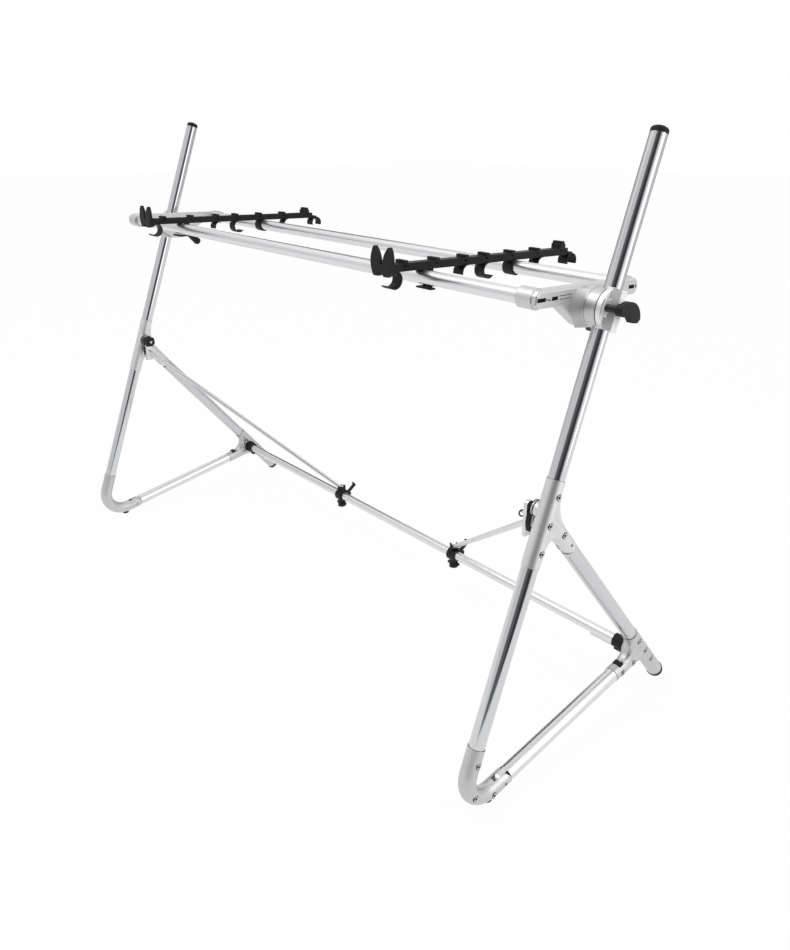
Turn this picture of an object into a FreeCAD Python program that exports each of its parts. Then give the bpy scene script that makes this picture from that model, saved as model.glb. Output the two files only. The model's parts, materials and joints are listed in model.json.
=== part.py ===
import FreeCAD, Part
import math
import os
import re

# Keyboard stand: two leaning side frames, a cross tube with two braces,
# and a bed of two tubes with two support arms.
# Millimetres, +X to the right, +Y to the rear, +Z up, floor at Z = 0.

doc = FreeCAD.newDocument("keyboard_stand")
sheet = doc.addObject("Spreadsheet::Sheet", "Sizes")

# Driving sizes
SIZES = [
    # side triangle: vertex A is the elbow, B the rear node, C the leg joint
    ("side", 480.0),
    ("lean", 20.0),
    ("strut_lean", 40.0),
    ("base_rise", 10.0),
    ("span", 1294.0),
    ("vertex_y", -279.45),
    # tubes
    ("tube_od", 25.4),
    ("tube_wall", 2.0),
    ("cast_od", 27.4),
    ("branch_step", 0.3),
    ("bed_od", 22.2),
    ("bed_wall", 1.8),
    ("cross_od", 19.0),
    ("cross_wall", 1.5),
    ("brace_od", 9.5),
    ("fit_gap", 0.05),
    ("move_gap", 0.35),
    ("seam_gap", 0.8),
    ("spigot_len", 24.0),
    # places along the upright, from vertex A
    ("elbow_top", 121.0),
    ("joint_below", 77.0),
    ("joint_above", 54.0),
    ("upright_top", 1024.0),
    ("cap_skirt", 5.0),
    ("cap_dome", 6.0),
    # elbow and knuckles
    ("bend_radius", 46.0),
    ("pivot_a", 100.0),
    ("pivot_c", 80.0),
    ("tongue_w", 9.0),
    ("tongue_r", 11.0),
    ("slot_back", 15.0),
    ("collar_len", 9.0),
    ("pin_od", 6.0),
    ("foot_pad_r", 8.0),
    ("pad_sink", 3.0),
    ("pad_show", 2.26),
    # webs of the castings
    ("joint_obtuse_r", 60.0),
    ("joint_acute_r", 16.0),
    ("node_obtuse_r", 34.0),
    ("node_acute_r", 22.0),
    ("web_thick", 23.0),
    ("web_round", 9.0),
    # rear node
    ("node_above", 68.0),
    ("foot_cap_len", 4.0),
    ("foot_plug_r", 7.0),
    ("foot_plug_len", 10.0),
    ("arm_reach", 88.0),
    ("notch_gap", 0.5),
    ("button_len", 10.0),
    ("button_w", 15.0),
    ("button_deep", 3.4),
    ("button_back", 20.0),
    ("button_stroke", 1.5),
    # screws
    ("screw_head_r", 4.3),
    ("screw_head_len", 2.2),
    ("screw_sink", 1.8),
    ("screw_shank_r", 2.1),
    ("screw_len", 9.0),
    ("screw_socket_r", 1.9),
    ("screw_socket_deep", 1.3),
    ("joint_screw_rise", 31.0),
    ("joint_screw_dip", 12.0),
    ("joint_screw_drop", 54.0),
    ("branch_screw", 50.0),
    ("elbow_screw_up", 97.0),
    ("elbow_screw_base", 73.0),
    ("bend_screw_y", 17.0),
    ("bend_screw_z", 41.5),
    ("node_screw_rise", 43.0),
    ("node_screw_mid", 4.0),
    ("node_screw_drop", 33.0),
    ("arm_screw_in", 39.0),
    ("arm_screw_out", 71.0),
    # cross tube and saddles
    ("cross_fore", 22.7),
    ("cross_lift", 8.65),
    ("cross_inset", 24.0),
    ("boss_face", 15.0),
    ("saddle_r", 15.0),
    ("saddle_plate", 8.0),
    ("cup_len", 15.0),
    ("cup_wall", 3.2),
    ("latch_len", 58.0),
    ("latch_w", 7.0),
    ("latch_thick", 3.0),
    ("latch_pin_r", 2.0),
    ("latch_ear", 3.0),
    ("latch_set", 5.0),
    # braces
    ("hub_above", 5.0),
    ("hub_r", 12.0),
    ("hub_plate", 6.0),
    ("eye_r", 8.0),
    ("eye_thick", 6.0),
    ("plate_drop", 48.0),
    ("rod_drop", 26.0),
    ("hub_bolt_r", 3.0),
    ("lever_len", 38.0),
    ("lever_thick", 7.0),
    ("lever_r", 7.0),
    ("leaf_r", 32.0),
    ("leaf_out", 7.0),
    ("clip_x", 198.0),
    ("clip_w", 20.0),
    ("clip_wall", 4.5),
    ("clip_pin_up", 18.0),
    ("clip_lug_top", 6.0),
    ("clip_lug_w", 16.0),
    ("clip_slot", 9.8),
    ("clip_pin_r", 2.5),
    ("clip_lever_len", 26.0),
    ("clip_lever_w", 8.0),
    ("clip_lever_thick", 3.6),
    ("clip_lever_tip", 9.0),
    ("clip_lever_turn", 35.0),
    ("clip_ear_out", 8.0),
    ("clip_ear_h", 8.0),
    ("clip_axle_r", 1.2),
    ("clip_lever_hub_r", 3.0),
    ("clip_foot_r", 9.5),
    ("clip_foot_len", 20.0),
    ("clip_bar_len", 27.0),
    ("clip_bar_h", 5.0),
    ("clip_prong_h", 7.0),
    # bed
    ("clamp_s", 781.0),
    ("bed_pitch", 2.0),
    ("bed_half", 105.0),
    ("bed_up", 18.0),
    ("bed_inset", 47.0),
    ("socket_r", 15.0),
    ("socket_len", 36.0),
    ("wing_inset", 29.0),
    ("wing_thick", 19.0),
    ("wing_h", 24.0),
    ("wing_drop", 28.0),
    ("wing_root", 66.0),
    ("boss_r", 29.0),
    ("boss_inset", 18.0),
    ("boss_bore_r", 6.0),
    ("flare_out", 11.0),
    ("flare_len", 9.0),
    ("slot_h", 5.5),
    ("slot_deep", 4.0),
    ("slot_front_out", 11.5),
    ("slot_front_len", 18.0),
    ("slot_mid_in", 19.0),
    ("slot_mid_len", 13.0),
    ("slot_rear_in", 11.0),
    ("slot_rear_len", 14.0),
    ("groove_in", 36.0),
    ("groove_len", 26.0),
    ("groove_h", 1.1),
    ("groove_deep", 0.8),
    ("groove_off", 2.4),
    ("wing_nose", 13.5),
    ("wing_tail", 12.0),
    ("wing_bevel", 6.0),
    ("yoke_r", 29.0),
    ("yoke_in", 17.4),
    ("split_gap", 1.2),
    ("cap_disc", 8.0),
    ("cap_block_w", 31.0),
    ("cap_block_len", 58.0),
    ("cap_bevel", 9.0),
    ("yoke_out", 20.0),
    ("stud_frame_w", 14.0),
    ("stud_frame_len", 25.0),
    ("stud_frame_h", 3.0),
    ("stud_off", 19.0),
    ("stud_in", 12.0),
    ("stud_r", 5.0),
    ("stud_len", 14.0),
    ("knob_hub_r", 8.5),
    ("knob_hub_len", 11.0),
    ("paddle_thick", 9.5),
    ("lobe_root_y", -3.0),
    ("lobe_root_z", 8.0),
    ("lobe_tip_y", 41.0),
    ("lobe_tip_z", -3.0),
    ("lobe_end_y", 37.0),
    ("lobe_end_z", -9.0),
    ("lobe_low_y", 25.0),
    ("lobe_low_z", -11.5),
    ("lobe_neck_y", 14.0),
    ("lobe_neck_z", -4.5),
    ("lobe_back_r", 27.0),
    ("tilt_hub_len", 10.0),
    ("tilt_hub_r", 9.0),
    ("tilt_bore_share", 0.75),
    ("tilt_lever_len", 62.0),
    ("tilt_tip_r", 8.0),
    ("tilt_neck", 2.5),
    ("tilt_round_share", 1.15),
    ("tilt_lever_thick", 9.0),
    ("tilt_lever_turn", 40.0),
    # support arms
    ("arm_x", 384.0),
    ("arm_w", 16.0),
    ("arm_h", 12.0),
    ("arm_front", -168.0),
    ("arm_rear", 244.0),
    ("arm_seat", 0.3),
    ("pad_x", 20.0),
    ("pad_y", 8.0),
    ("pad_h", 4.5),
    ("block_y", 14.0),
    ("block_h", 8.0),
    ("notch_y", 5.0),
    ("notch_h", 2.4),
    ("notch_drop", 5.0),
    ("fork_y", -184.0),
    ("fork_half", 11.0),
    ("fork_thick", 6.0),
    ("fork_up", 39.0),
    ("petal_low", 5.0),
    ("petal_foot", 10.0),
    ("petal_tip", 4.0),
    ("petal_splay", 5.0),
    ("petal_r", 37.0),
    ("petal_round_share", 0.62),
    ("fork_root", 26.0),
    ("bowl_r", 10.0),
    ("hook_w", 20.0),
    ("hook_wall", 2.6),
    ("tongue_drop", 3.0),
    ("clip_reach", 24.0),
    ("jaw_gap", 0.3),
    ("arm_lever_len", 32.0),
    ("arm_lever_h", 5.6),
    ("arm_lever_w", 10.0),
    ("arm_leg_thick", 6.0),
    ("arm_pin_r", 1.5),
    ("lip_drop", 9.0),
    ("jhook_set", 12.0),
    ("free_set", 6.0),
    ("clip_set", 11.0),
    ("clip_neck", 5.0),
    ("clip_mouth", 5.0),
]
PAD_PLACES = [
    ("pad_one", -146.0),
    ("pad_two", -81.0),
    ("pad_three", -17.0),
    ("pad_four", 32.0),
    ("pad_five", 95.0),
    ("pad_six", 160.0),
    ("pad_seven", 226.0),
]
SIZES += PAD_PLACES
SIZES += [
    ("jhook_y", -154.0),
    ("tab_one_y", -12.0),
    ("hook_free_y", 31.0),
    ("tab_two_y", 173.0),
]

# Places that follow from the sizes above.
# vertex_z leaves the foot pads' share below the bend, foot_end puts the foot caps' low edge on the floor.
RULES = [
    ("joint_low", "=side-joint_below"),
    ("joint_high", "=side+joint_above"),
    ("joint_screw_up", "=side+joint_screw_rise"),
    ("joint_screw_mid", "=side-joint_screw_dip"),
    ("joint_screw_low", "=side-joint_screw_drop"),
    ("node_top", "=side-node_above"),
    ("vertex_z", "=pad_show-2*bend_radius*sin((90-lean-base_rise)/2+base_rise)+bend_radius+cast_od/2"),
    ("foot_end", "=(vertex_z+side*cos(lean)-cast_od/2*sin(strut_lean))/cos(strut_lean)-foot_cap_len"),
    ("node_screw_one", "=side-node_screw_rise"),
    ("node_screw_two", "=side-node_screw_mid"),
    ("node_screw_three", "=side+node_screw_drop"),
    ("cross_y", "=side*cos(base_rise)-cross_fore"),
    ("cross_z", "=side*sin(base_rise)+cross_lift"),
    ("hub_s", "=side+hub_above"),
    ("bed_end", "=span/2-bed_inset"),
    ("wing_face", "=span/2-wing_inset"),
    ("socket_in", "=wing_face-socket_len"),
    ("boss_end", "=span/2-boss_inset"),
    ("slot_front_y", "=-bed_half-slot_front_out"),
    ("slot_mid_y", "=-bed_half+slot_mid_in"),
    ("slot_rear_y", "=bed_half-slot_rear_in"),
    ("groove_y", "=-bed_half+groove_in"),
]

NAMES = set()
for row, (name, number) in enumerate(SIZES + RULES, start=1):
    sheet.set("A%d" % row, name)
    sheet.set("B%d" % row, str(number))
    sheet.setAlias("B%d" % row, name)
    NAMES.add(name)
doc.recompute()

WORD = re.compile(r"[A-Za-z_][A-Za-z_0-9]*")


def linked(text):
    """Return an expression with every size name pointing at the sheet."""
    def swap(match):
        word = match.group(0)
        return "Sizes." + word if word in NAMES else word
    return WORD.sub(swap, str(text))


def value(text):
    """Return the present number of an expression."""
    number = sheet.evalExpression(linked(text))
    return float(getattr(number, "Value", number))


def bind(obj, prop, text):
    """Drive one property of an object from the sheet."""
    obj.setExpression(prop, linked(text))


TURNS = {
    "Z": ((0, 0, 1), 0),
    "X": ((0, 1, 0), 90),
    "Y": ((-1, 0, 0), 90),
}


def put(obj, at, axis="Z", turn=None):
    """Place an object: at is three expressions, turn is (sign on X or three axis numbers, angle)."""
    if turn is None:
        direction, angle = TURNS[axis]
        obj.Placement = FreeCAD.Placement(
            FreeCAD.Vector(), FreeCAD.Rotation(FreeCAD.Vector(*direction), angle))
    else:
        sign, angle = turn
        direction = sign if isinstance(sign, tuple) else (sign, 0, 0)
        obj.Placement = FreeCAD.Placement(
            FreeCAD.Vector(), FreeCAD.Rotation(FreeCAD.Vector(*direction), value(angle)))
        bind(obj, "Placement.Rotation.Angle", angle)
    for letter, text in zip("xyz", at):
        bind(obj, "Placement.Base." + letter, text)
    return obj


COUNT = {"n": 0}


def fresh(word):
    """Return a new inner name."""
    COUNT["n"] += 1
    return "%s_%03d" % (word, COUNT["n"])


def cyl(radius, length, at=("0", "0", "0"), axis="Z", turn=None):
    """A cylinder from a point along an axis."""
    obj = doc.addObject("Part::Cylinder", fresh("cyl"))
    bind(obj, "Radius", radius)
    bind(obj, "Height", length)
    return put(obj, at, axis, turn)


def cone(r_one, r_two, length, at=("0", "0", "0"), axis="Z", turn=None):
    """A cone frustum from a point along an axis."""
    obj = doc.addObject("Part::Cone", fresh("cone"))
    bind(obj, "Radius1", r_one)
    bind(obj, "Radius2", r_two)
    bind(obj, "Height", length)
    return put(obj, at, axis, turn)


def block(size, at=("0", "0", "0"), turn=None):
    """A box with its lower corner at a point."""
    obj = doc.addObject("Part::Box", fresh("box"))
    for prop, text in zip(("Length", "Width", "Height"), size):
        bind(obj, prop, text)
    return put(obj, at, "Z", turn)


def dome(radius, rise, at):
    """The upper half of an ellipsoid."""
    obj = doc.addObject("Part::Ellipsoid", fresh("dome"))
    bind(obj, "Radius1", rise)
    bind(obj, "Radius2", radius)
    bind(obj, "Radius3", radius)
    obj.Angle1 = 0
    obj.Angle2 = 90
    return put(obj, at)


def fuse(*parts):
    """Join solids to one."""
    obj = doc.addObject("Part::MultiFuse", fresh("fuse"))
    obj.Shapes = list(parts)
    obj.Refine = True
    return obj


def cut(base, *tools):
    """Take tools away from a solid."""
    obj = doc.addObject("Part::Cut", fresh("cut"))
    obj.Base = base
    obj.Tool = tools[0] if len(tools) == 1 else fuse(*tools)
    return obj


def common(one, two):
    """Keep what two solids share."""
    obj = doc.addObject("Part::Common", fresh("common"))
    obj.Base = one
    obj.Tool = two
    return obj


def group(*parts):
    """Several like solids in one node."""
    obj = doc.addObject("Part::Compound", fresh("group"))
    obj.Links = list(parts)
    return obj


def plane_of(body, role):
    """Return one origin plane of a body by its role."""
    for feature in body.Origin.OriginFeatures:
        if feature.Role == role:
            return feature
    raise ValueError(role)


def profile(body, role, points, arcs):
    """Draw a closed outline: points are pairs of expressions, arcs maps an edge to its radius and side."""
    sketch = body.newObject("Sketcher::SketchObject", fresh("sketch"))
    sketch.AttachmentSupport = [(plane_of(body, role), "")]
    sketch.MapMode = "FlatFace"
    spots = [(value(a), value(b)) for a, b in points]
    total = len(spots)
    for index in range(total):
        x_one, y_one = spots[index]
        x_two, y_two = spots[(index + 1) % total]
        start = FreeCAD.Vector(x_one, y_one, 0)
        end = FreeCAD.Vector(x_two, y_two, 0)
        if index in arcs:
            text, side = arcs[index]
            radius = value(text)
            middle = (start + end) * 0.5
            chord = end - start
            half = chord.Length / 2
            rise = math.sqrt(max(radius * radius - half * half, 0.0))
            normal = FreeCAD.Vector(-chord.y, chord.x, 0).normalize()
            centre = middle + normal * rise * side
            toward = (middle - centre)
            toward = toward.normalize() if toward.Length > 0 else normal * -side
            sketch.addGeometry(Part.Arc(start, centre + toward * radius, end), False)
        else:
            sketch.addGeometry(Part.LineSegment(start, end), False)
    doc.recompute()

    def ends(index):
        """Return the point numbers (start, end) of an edge in drawing order."""
        if index not in arcs:
            return 1, 2
        geo = sketch.Geometry[index]
        x_one, y_one = spots[index]
        first = geo.StartPoint
        return (1, 2) if math.hypot(first.x - x_one, first.y - y_one) < geo.Radius * 1e-3 else (2, 1)

    import Sketcher
    for index in range(total):
        follower = (index + 1) % total
        sketch.addConstraint(Sketcher.Constraint(
            "Coincident", index, ends(index)[1], follower, ends(follower)[0]))
    for index in range(total):
        for kind, text, present in zip(("DistanceX", "DistanceY"), points[index], spots[index]):
            number = sketch.addConstraint(Sketcher.Constraint(
                kind, -1, 1, index, ends(index)[0], present))
            bind(sketch, "Constraints[%d]" % number, text)
    for index, (text, side) in arcs.items():
        number = sketch.addConstraint(Sketcher.Constraint("Radius", index, value(text)))
        bind(sketch, "Constraints[%d]" % number, text)
    return sketch


def plate(role, points, arcs, thickness, rounding=None, pick=None):
    """A body padded evenly both ways from an outline, its picked edges rounded."""
    body = doc.addObject("PartDesign::Body", fresh("body"))
    sketch = profile(body, role, points, arcs)
    pad = body.newObject("PartDesign::Pad", fresh("pad"))
    pad.Profile = sketch
    pad.SideType = "Symmetric"
    bind(pad, "Length", thickness)
    doc.recompute()
    if rounding:
        names = []
        for number, edge in enumerate(pad.Shape.Edges, start=1):
            if pick(edge):
                names.append("Edge%d" % number)
        fillet = body.newObject("PartDesign::Fillet", fresh("fillet"))
        fillet.Base = (pad, names)
        bind(fillet, "Radius", rounding)
        doc.recompute()
    return body


NODES = []


def node(obj, label):
    """Give the finished object its node name."""
    obj.Label = label
    NODES.append(obj)
    return obj


def mirrored(obj, label):
    """The same piece on the left side."""
    twin = doc.addObject("Part::Mirroring", fresh("mirror"))
    twin.Source = obj
    twin.Normal = FreeCAD.Vector(1, 0, 0)
    twin.Base = FreeCAD.Vector(0, 0, 0)
    return node(twin, label)


def both(obj, word):
    """Name a right-hand piece and make its left-hand twin."""
    node(obj, "right_" + word)
    mirrored(obj, "left_" + word)
    return obj


# Frames: every piece of a frame is drawn in that frame's own axes and then placed.
# upright: Z along the upright from A, Y to the rear.  strut: Z up the strut, zero at C.
# base: Z along the base tube from A, -Y up.  bed: at the clamp bolt's axis.
HALF = "span/2"
C_Y = "vertex_y+side*sin(lean)"
C_Z = "vertex_z+side*cos(lean)"
BED_Y = "vertex_y+clamp_s*sin(lean)"
BED_Z = "vertex_z+clamp_s*cos(lean)"
FRAMES = {
    "upright": ((HALF, "vertex_y", "vertex_z"), (-1, "lean")),
    "strut": ((HALF, C_Y, C_Z), (1, "strut_lean")),
    "base": ((HALF, "vertex_y", "vertex_z"), (-1, "90-base_rise")),
    "clamp": ((HALF, BED_Y, BED_Z), (-1, "lean")),
    "bed": (("0", BED_Y, BED_Z), (-1, "bed_pitch")),
    "cross": (("0", "vertex_y+cross_y", "vertex_z+cross_z"), None),
}


def stand_in(obj, frame):
    """Place a finished piece in its frame."""
    at, turn = FRAMES[frame]
    return put(obj, at, "Z", turn)


RC = "cast_od/2"
BRANCH_R = "(cast_od/2-branch_step)"
BORE = "(tube_od/2-tube_wall)"
SPIGOT = "(tube_od/2-tube_wall-fit_gap)"
CORNER = "(lean+strut_lean)"
BEND = "(90-lean-base_rise)"


def tube(outer, wall, start, end):
    """A round tube along Z between two places."""
    length = "(%s)-(%s)" % (end, start)
    return cut(cyl(outer + "/2", length, ("0", "0", start)),
               cyl("%s/2-%s" % (outer, wall), length, ("0", "0", start)))


def web_points(origin, sign, obtuse, acute):
    """Outline of the web between a sleeve along Z and a branch leaving it at the corner angle."""
    wide = "(%s+%s)/tan((180-%s)/2)" % (RC, obtuse, CORNER)
    tight = "(%s+%s)/tan(%s/2)" % (RC, acute, CORNER)
    d_y, d_z = "sin(%s)" % CORNER, "-cos(%s)" % CORNER
    m_y, m_z = "cos(%s)" % CORNER, "sin(%s)" % CORNER
    pairs = [
        ("0", wide),
        (RC, wide),
        ("%s*%s+%s*%s" % (wide, d_y, RC, m_y), "%s*(%s)+%s*%s" % (wide, d_z, RC, m_z)),
        ("%s*%s-%s*%s" % (tight, d_y, RC, m_y), "%s*(%s)-%s*%s" % (tight, d_z, RC, m_z)),
        (RC, "-(%s)" % tight),
        ("0", "-(%s)" % tight),
    ]
    return [("%s(%s)" % (sign, a), "(%s)%s(%s)" % (origin, sign or "+", b)) for a, b in pairs]


def is_web_arc(radii):
    """Pick the long curved edges of a web plate."""
    numbers = [value(text) for text in radii]

    def pick(edge):
        curve = edge.Curve
        return isinstance(curve, Part.Circle) and any(abs(curve.Radius - r) < r * 1e-4 for r in numbers)
    return pick


# Uprights
upper = stand_in(tube("tube_od", "tube_wall", "joint_high", "upright_top"), "upright")
both(upper, "upper_upright")
lower = stand_in(tube("tube_od", "tube_wall", "elbow_top", "joint_low"), "upright")
both(lower, "lower_upright")

top_cap = fuse(
    cyl(SPIGOT, "spigot_len/2", ("0", "0", "upright_top-spigot_len/2")),
    cyl("tube_od/2", "cap_skirt", ("0", "0", "upright_top")),
    dome("tube_od/2", "cap_dome", ("0", "0", "upright_top+cap_skirt")))
both(stand_in(top_cap, "upright"), "top_cap")

# Leg joint: sleeve, branch with a forked end, web and a flat for the brace hub
BRANCH = (-1, "180-%s" % CORNER)
at_c = ("0", "0", "side")
pivot_c_at = ("-cast_od", "pivot_c*sin(%s)" % CORNER, "side-pivot_c*cos(%s)" % CORNER)
joint_web = plate("YZ_Plane", web_points("side", "", "joint_obtuse_r", "joint_acute_r"),
                  {1: ("joint_obtuse_r", 1), 3: ("joint_acute_r", 1)},
                  "web_thick", "web_round", is_web_arc(("joint_obtuse_r", "joint_acute_r")))
joint_body = fuse(
    cyl(RC, "joint_high-joint_low", ("0", "0", "joint_low")),
    cyl(SPIGOT, "joint_high-joint_low+2*spigot_len", ("0", "0", "joint_low-spigot_len")),
    cyl(BRANCH_R, "pivot_c", at_c, turn=BRANCH),
    common(cyl(BRANCH_R, "pivot_c+cast_od", at_c, turn=BRANCH),
           cyl(RC, "2*cast_od", pivot_c_at, "X")),
    joint_web,
    cyl("hub_r", "boss_face", ("-boss_face", "0", "hub_s"), "X"))
joint_slot = block(("tongue_w+2*move_gap", "2*cast_od", "slot_back+2*cast_od"),
                   ("-tongue_w/2-move_gap",
                    "(pivot_c-slot_back)*sin(%s)+cast_od*cos(%s)" % (CORNER, CORNER),
                    "side-(pivot_c-slot_back)*cos(%s)+cast_od*sin(%s)" % (CORNER, CORNER)),
                   turn=BRANCH)


def screw_seat(depth_at, y_at, z_at):
    """The counterbore and shank hole of one screw in an outer face at X = depth_at."""
    return fuse(
        cyl("screw_head_r+fit_gap", "cast_od", ("%s-screw_sink" % depth_at, y_at, z_at), "X"),
        cyl("screw_shank_r+fit_gap", "screw_len",
            ("%s-screw_sink-screw_len" % depth_at, y_at, z_at), "X"))


def screw(depth_at, y_at, z_at):
    """One socket head screw seated in an outer face at X = depth_at."""
    head = ("%s-screw_sink" % depth_at, y_at, z_at)
    solid = fuse(
        cyl("screw_head_r", "screw_head_len", head, "X"),
        cyl("screw_shank_r", "screw_len-screw_sink",
            ("%s-screw_len" % depth_at, y_at, z_at), "X"))
    return cut(solid, cyl("screw_socket_r", "screw_head_len",
                          ("%s-screw_sink+screw_head_len-screw_socket_deep" % depth_at, y_at, z_at), "X"))


JOINT_SCREWS = [
    (RC, "0", "joint_screw_up"),
    (RC, "0", "joint_screw_mid"),
    (RC, "0", "joint_screw_low"),
    (RC, "branch_screw*sin(%s)" % CORNER, "side-branch_screw*cos(%s)" % CORNER),
]
leg_joint = cut(joint_body, joint_slot,
                cyl("pin_od/2+fit_gap", "2*cast_od", pivot_c_at, "X"),
                cyl("hub_bolt_r", "boss_face", ("-boss_face", "0", "hub_s"), "X"),
                *[screw_seat(*spot) for spot in JOINT_SCREWS])
both(stand_in(leg_joint, "upright"), "leg_joint")

# Elbow: a bent casting swept along its path, forked at its base end
elbow = doc.addObject("PartDesign::Body", "elbow_body")
TANGENT = "bend_radius/tan(%s/2)" % BEND
path = elbow.newObject("Sketcher::SketchObject", "elbow_path")
path.AttachmentSupport = [(plane_of(elbow, "YZ_Plane"), "")]
path.MapMode = "FlatFace"
import Sketcher
turn_at = (0.0, value(TANGENT))
end_at = (value(TANGENT + "*sin(%s)" % BEND), value(TANGENT + "*cos(%s)" % BEND))
stop_at = (value("pivot_a*sin(%s)" % BEND), value("pivot_a*cos(%s)" % BEND))
bow = math.radians(value(BEND) / 2)
mid_at = (value("bend_radius") * (1 - math.cos(math.pi / 2 - bow)),
          value(TANGENT) - value("bend_radius") * math.sin(math.pi / 2 - bow))
path.addGeometry(Part.LineSegment(FreeCAD.Vector(0, value("elbow_top"), 0),
                                  FreeCAD.Vector(*turn_at, 0)), False)
path.addGeometry(Part.Arc(FreeCAD.Vector(*turn_at, 0), FreeCAD.Vector(*mid_at, 0),
                          FreeCAD.Vector(*end_at, 0)), False)
path.addGeometry(Part.LineSegment(FreeCAD.Vector(*end_at, 0), FreeCAD.Vector(*stop_at, 0)), False)
arc_first = path.Geometry[1].StartPoint
first_end, last_end = (1, 2) if arc_first.x < value("bend_radius") / 4 else (2, 1)
path.addConstraint(Sketcher.Constraint("Coincident", 0, 2, 1, first_end))
path.addConstraint(Sketcher.Constraint("Coincident", 1, last_end, 2, 1))


def hold_point(edge, end, text_x, text_y):
    """Tie one end of an edge of the elbow's path to its place."""
    for kind, text in (("DistanceX", text_x), ("DistanceY", text_y)):
        number = path.addConstraint(Sketcher.Constraint(kind, -1, 1, edge, end, value(text)))
        bind(path, "Constraints[%d]" % number, text)


hold_point(0, 1, "0", "elbow_top")
hold_point(0, 2, "0", TANGENT)
hold_point(2, 1, TANGENT + "*sin(%s)" % BEND, TANGENT + "*cos(%s)" % BEND)
hold_point(2, 2, "pivot_a*sin(%s)" % BEND, "pivot_a*cos(%s)" % BEND)
number = path.addConstraint(Sketcher.Constraint("Radius", 1, value("bend_radius")))
bind(path, "Constraints[%d]" % number, "bend_radius")
ring = elbow.newObject("Sketcher::SketchObject", "elbow_ring")
ring.AttachmentSupport = [(plane_of(elbow, "XY_Plane"), "")]
ring.MapMode = "FlatFace"
bind(ring, "AttachmentOffset.Base.z", "elbow_top")
ring.addGeometry(Part.Circle(FreeCAD.Vector(), FreeCAD.Vector(0, 0, 1), value(RC)), False)
ring.addConstraint(Sketcher.Constraint("Coincident", 0, 3, -1, 1))
number = ring.addConstraint(Sketcher.Constraint("Radius", 0, value(RC)))
bind(ring, "Constraints[%d]" % number, RC)
doc.recompute()
sweep = elbow.newObject("PartDesign::AdditivePipe", "elbow_sweep")
sweep.Profile = ring
sweep.Spine = (path, ["Edge1", "Edge2", "Edge3"])
doc.recompute()

LEG = (-1, BEND)
pivot_a_at = ("-cast_od", "pivot_a*sin(%s)" % BEND, "pivot_a*cos(%s)" % BEND)
elbow_solid = fuse(
    elbow,
    cyl(SPIGOT, "spigot_len+cast_od/2", ("0", "0", "elbow_top-cast_od/2")),
    common(cyl(RC, "pivot_a+cast_od", turn=LEG), cyl(RC, "2*cast_od", pivot_a_at, "X")))
elbow_slot = block(("tongue_w+2*move_gap", "2*cast_od", "slot_back+2*cast_od"),
                   ("-tongue_w/2-move_gap",
                    "(pivot_a-slot_back)*sin(%s)-cast_od*cos(%s)" % (BEND, BEND),
                    "(pivot_a-slot_back)*cos(%s)+cast_od*sin(%s)" % (BEND, BEND)),
                   turn=LEG)
ELBOW_SCREWS = [
    (RC, "0", "elbow_screw_up"),
    (RC, "elbow_screw_base*sin(%s)" % BEND, "elbow_screw_base*cos(%s)" % BEND),
    (RC, "bend_screw_y", "bend_screw_z"),
]
LOW_Y = "2*bend_radius*cos(%s/2+base_rise)" % BEND
PAD_AT = (HALF, "vertex_y+(%s)" % LOW_Y, "0")
pad_seat = cyl("foot_pad_r", "pad_show+pad_sink", PAD_AT)
elbow_cast = cut(elbow_solid, elbow_slot,
                 cyl("pin_od/2+fit_gap", "2*cast_od", pivot_a_at, "X"),
                 *[screw_seat(*spot) for spot in ELBOW_SCREWS])
elbow_placed = stand_in(elbow_cast, "upright")
both(cut(elbow_placed, pad_seat), "elbow")
both(cyl("foot_pad_r", "pad_show+pad_sink", PAD_AT), "elbow_pad")

# Base tube with its front knuckle
BASE_START = "pivot_a+cast_od/2+seam_gap+collar_len"
BASE_STOP = "side-arm_reach"


def knuckle(pivot, flip):
    """A collar with a rounded tongue at the pivot and a spigot for the tube; flip is the way along Z."""
    sign = "-" if flip else ""
    start = "%s+cast_od/2+seam_gap" % pivot
    end = "%s+collar_len" % start

    def along(text, length):
        return "-(%s)-(%s)" % (text, length) if flip else text
    tongue = block(("tongue_w", "2*tongue_r", "cast_od/2+seam_gap"),
                   ("-tongue_w/2", "-tongue_r", along(pivot, "cast_od/2+seam_gap")))
    solid = fuse(
        cyl("tube_od/2", "collar_len", ("0", "0", along(start, "collar_len"))),
        cyl(SPIGOT, "spigot_len", ("0", "0", along(end, "spigot_len"))),
        tongue,
        cyl("tongue_r", "tongue_w", ("-tongue_w/2", "0", "%s(%s)" % (sign, pivot)), "X"))
    return cut(solid, cyl("pin_od/2+fit_gap", "2*tongue_w", ("-tongue_w", "0", "%s(%s)" % (sign, pivot)), "X"))


both(stand_in(knuckle("pivot_a", False), "base"), "base_knuckle")
base_tube = tube("tube_od", "tube_wall", BASE_START, BASE_STOP)
both(stand_in(base_tube, "base"), "base_tube")

# Rear strut with its top knuckle
STRUT_START = "pivot_c+cast_od/2+seam_gap+collar_len"
both(stand_in(knuckle("pivot_c", True), "strut"), "strut_knuckle")
both(stand_in(tube("tube_od", "tube_wall", "-node_top", "-(%s)" % STRUT_START), "strut"), "rear_strut")

# Fold pins through both knuckles
pin_c = cyl("pin_od/2", "cast_od-2*screw_sink", ("-cast_od/2+screw_sink", pivot_c_at[1], pivot_c_at[2]), "X")
pin_a = cyl("pin_od/2", "cast_od-2*screw_sink", ("-cast_od/2+screw_sink", pivot_a_at[1], pivot_a_at[2]), "X")
right_pins = stand_in(group(pin_c, pin_a), "upright")

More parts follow.
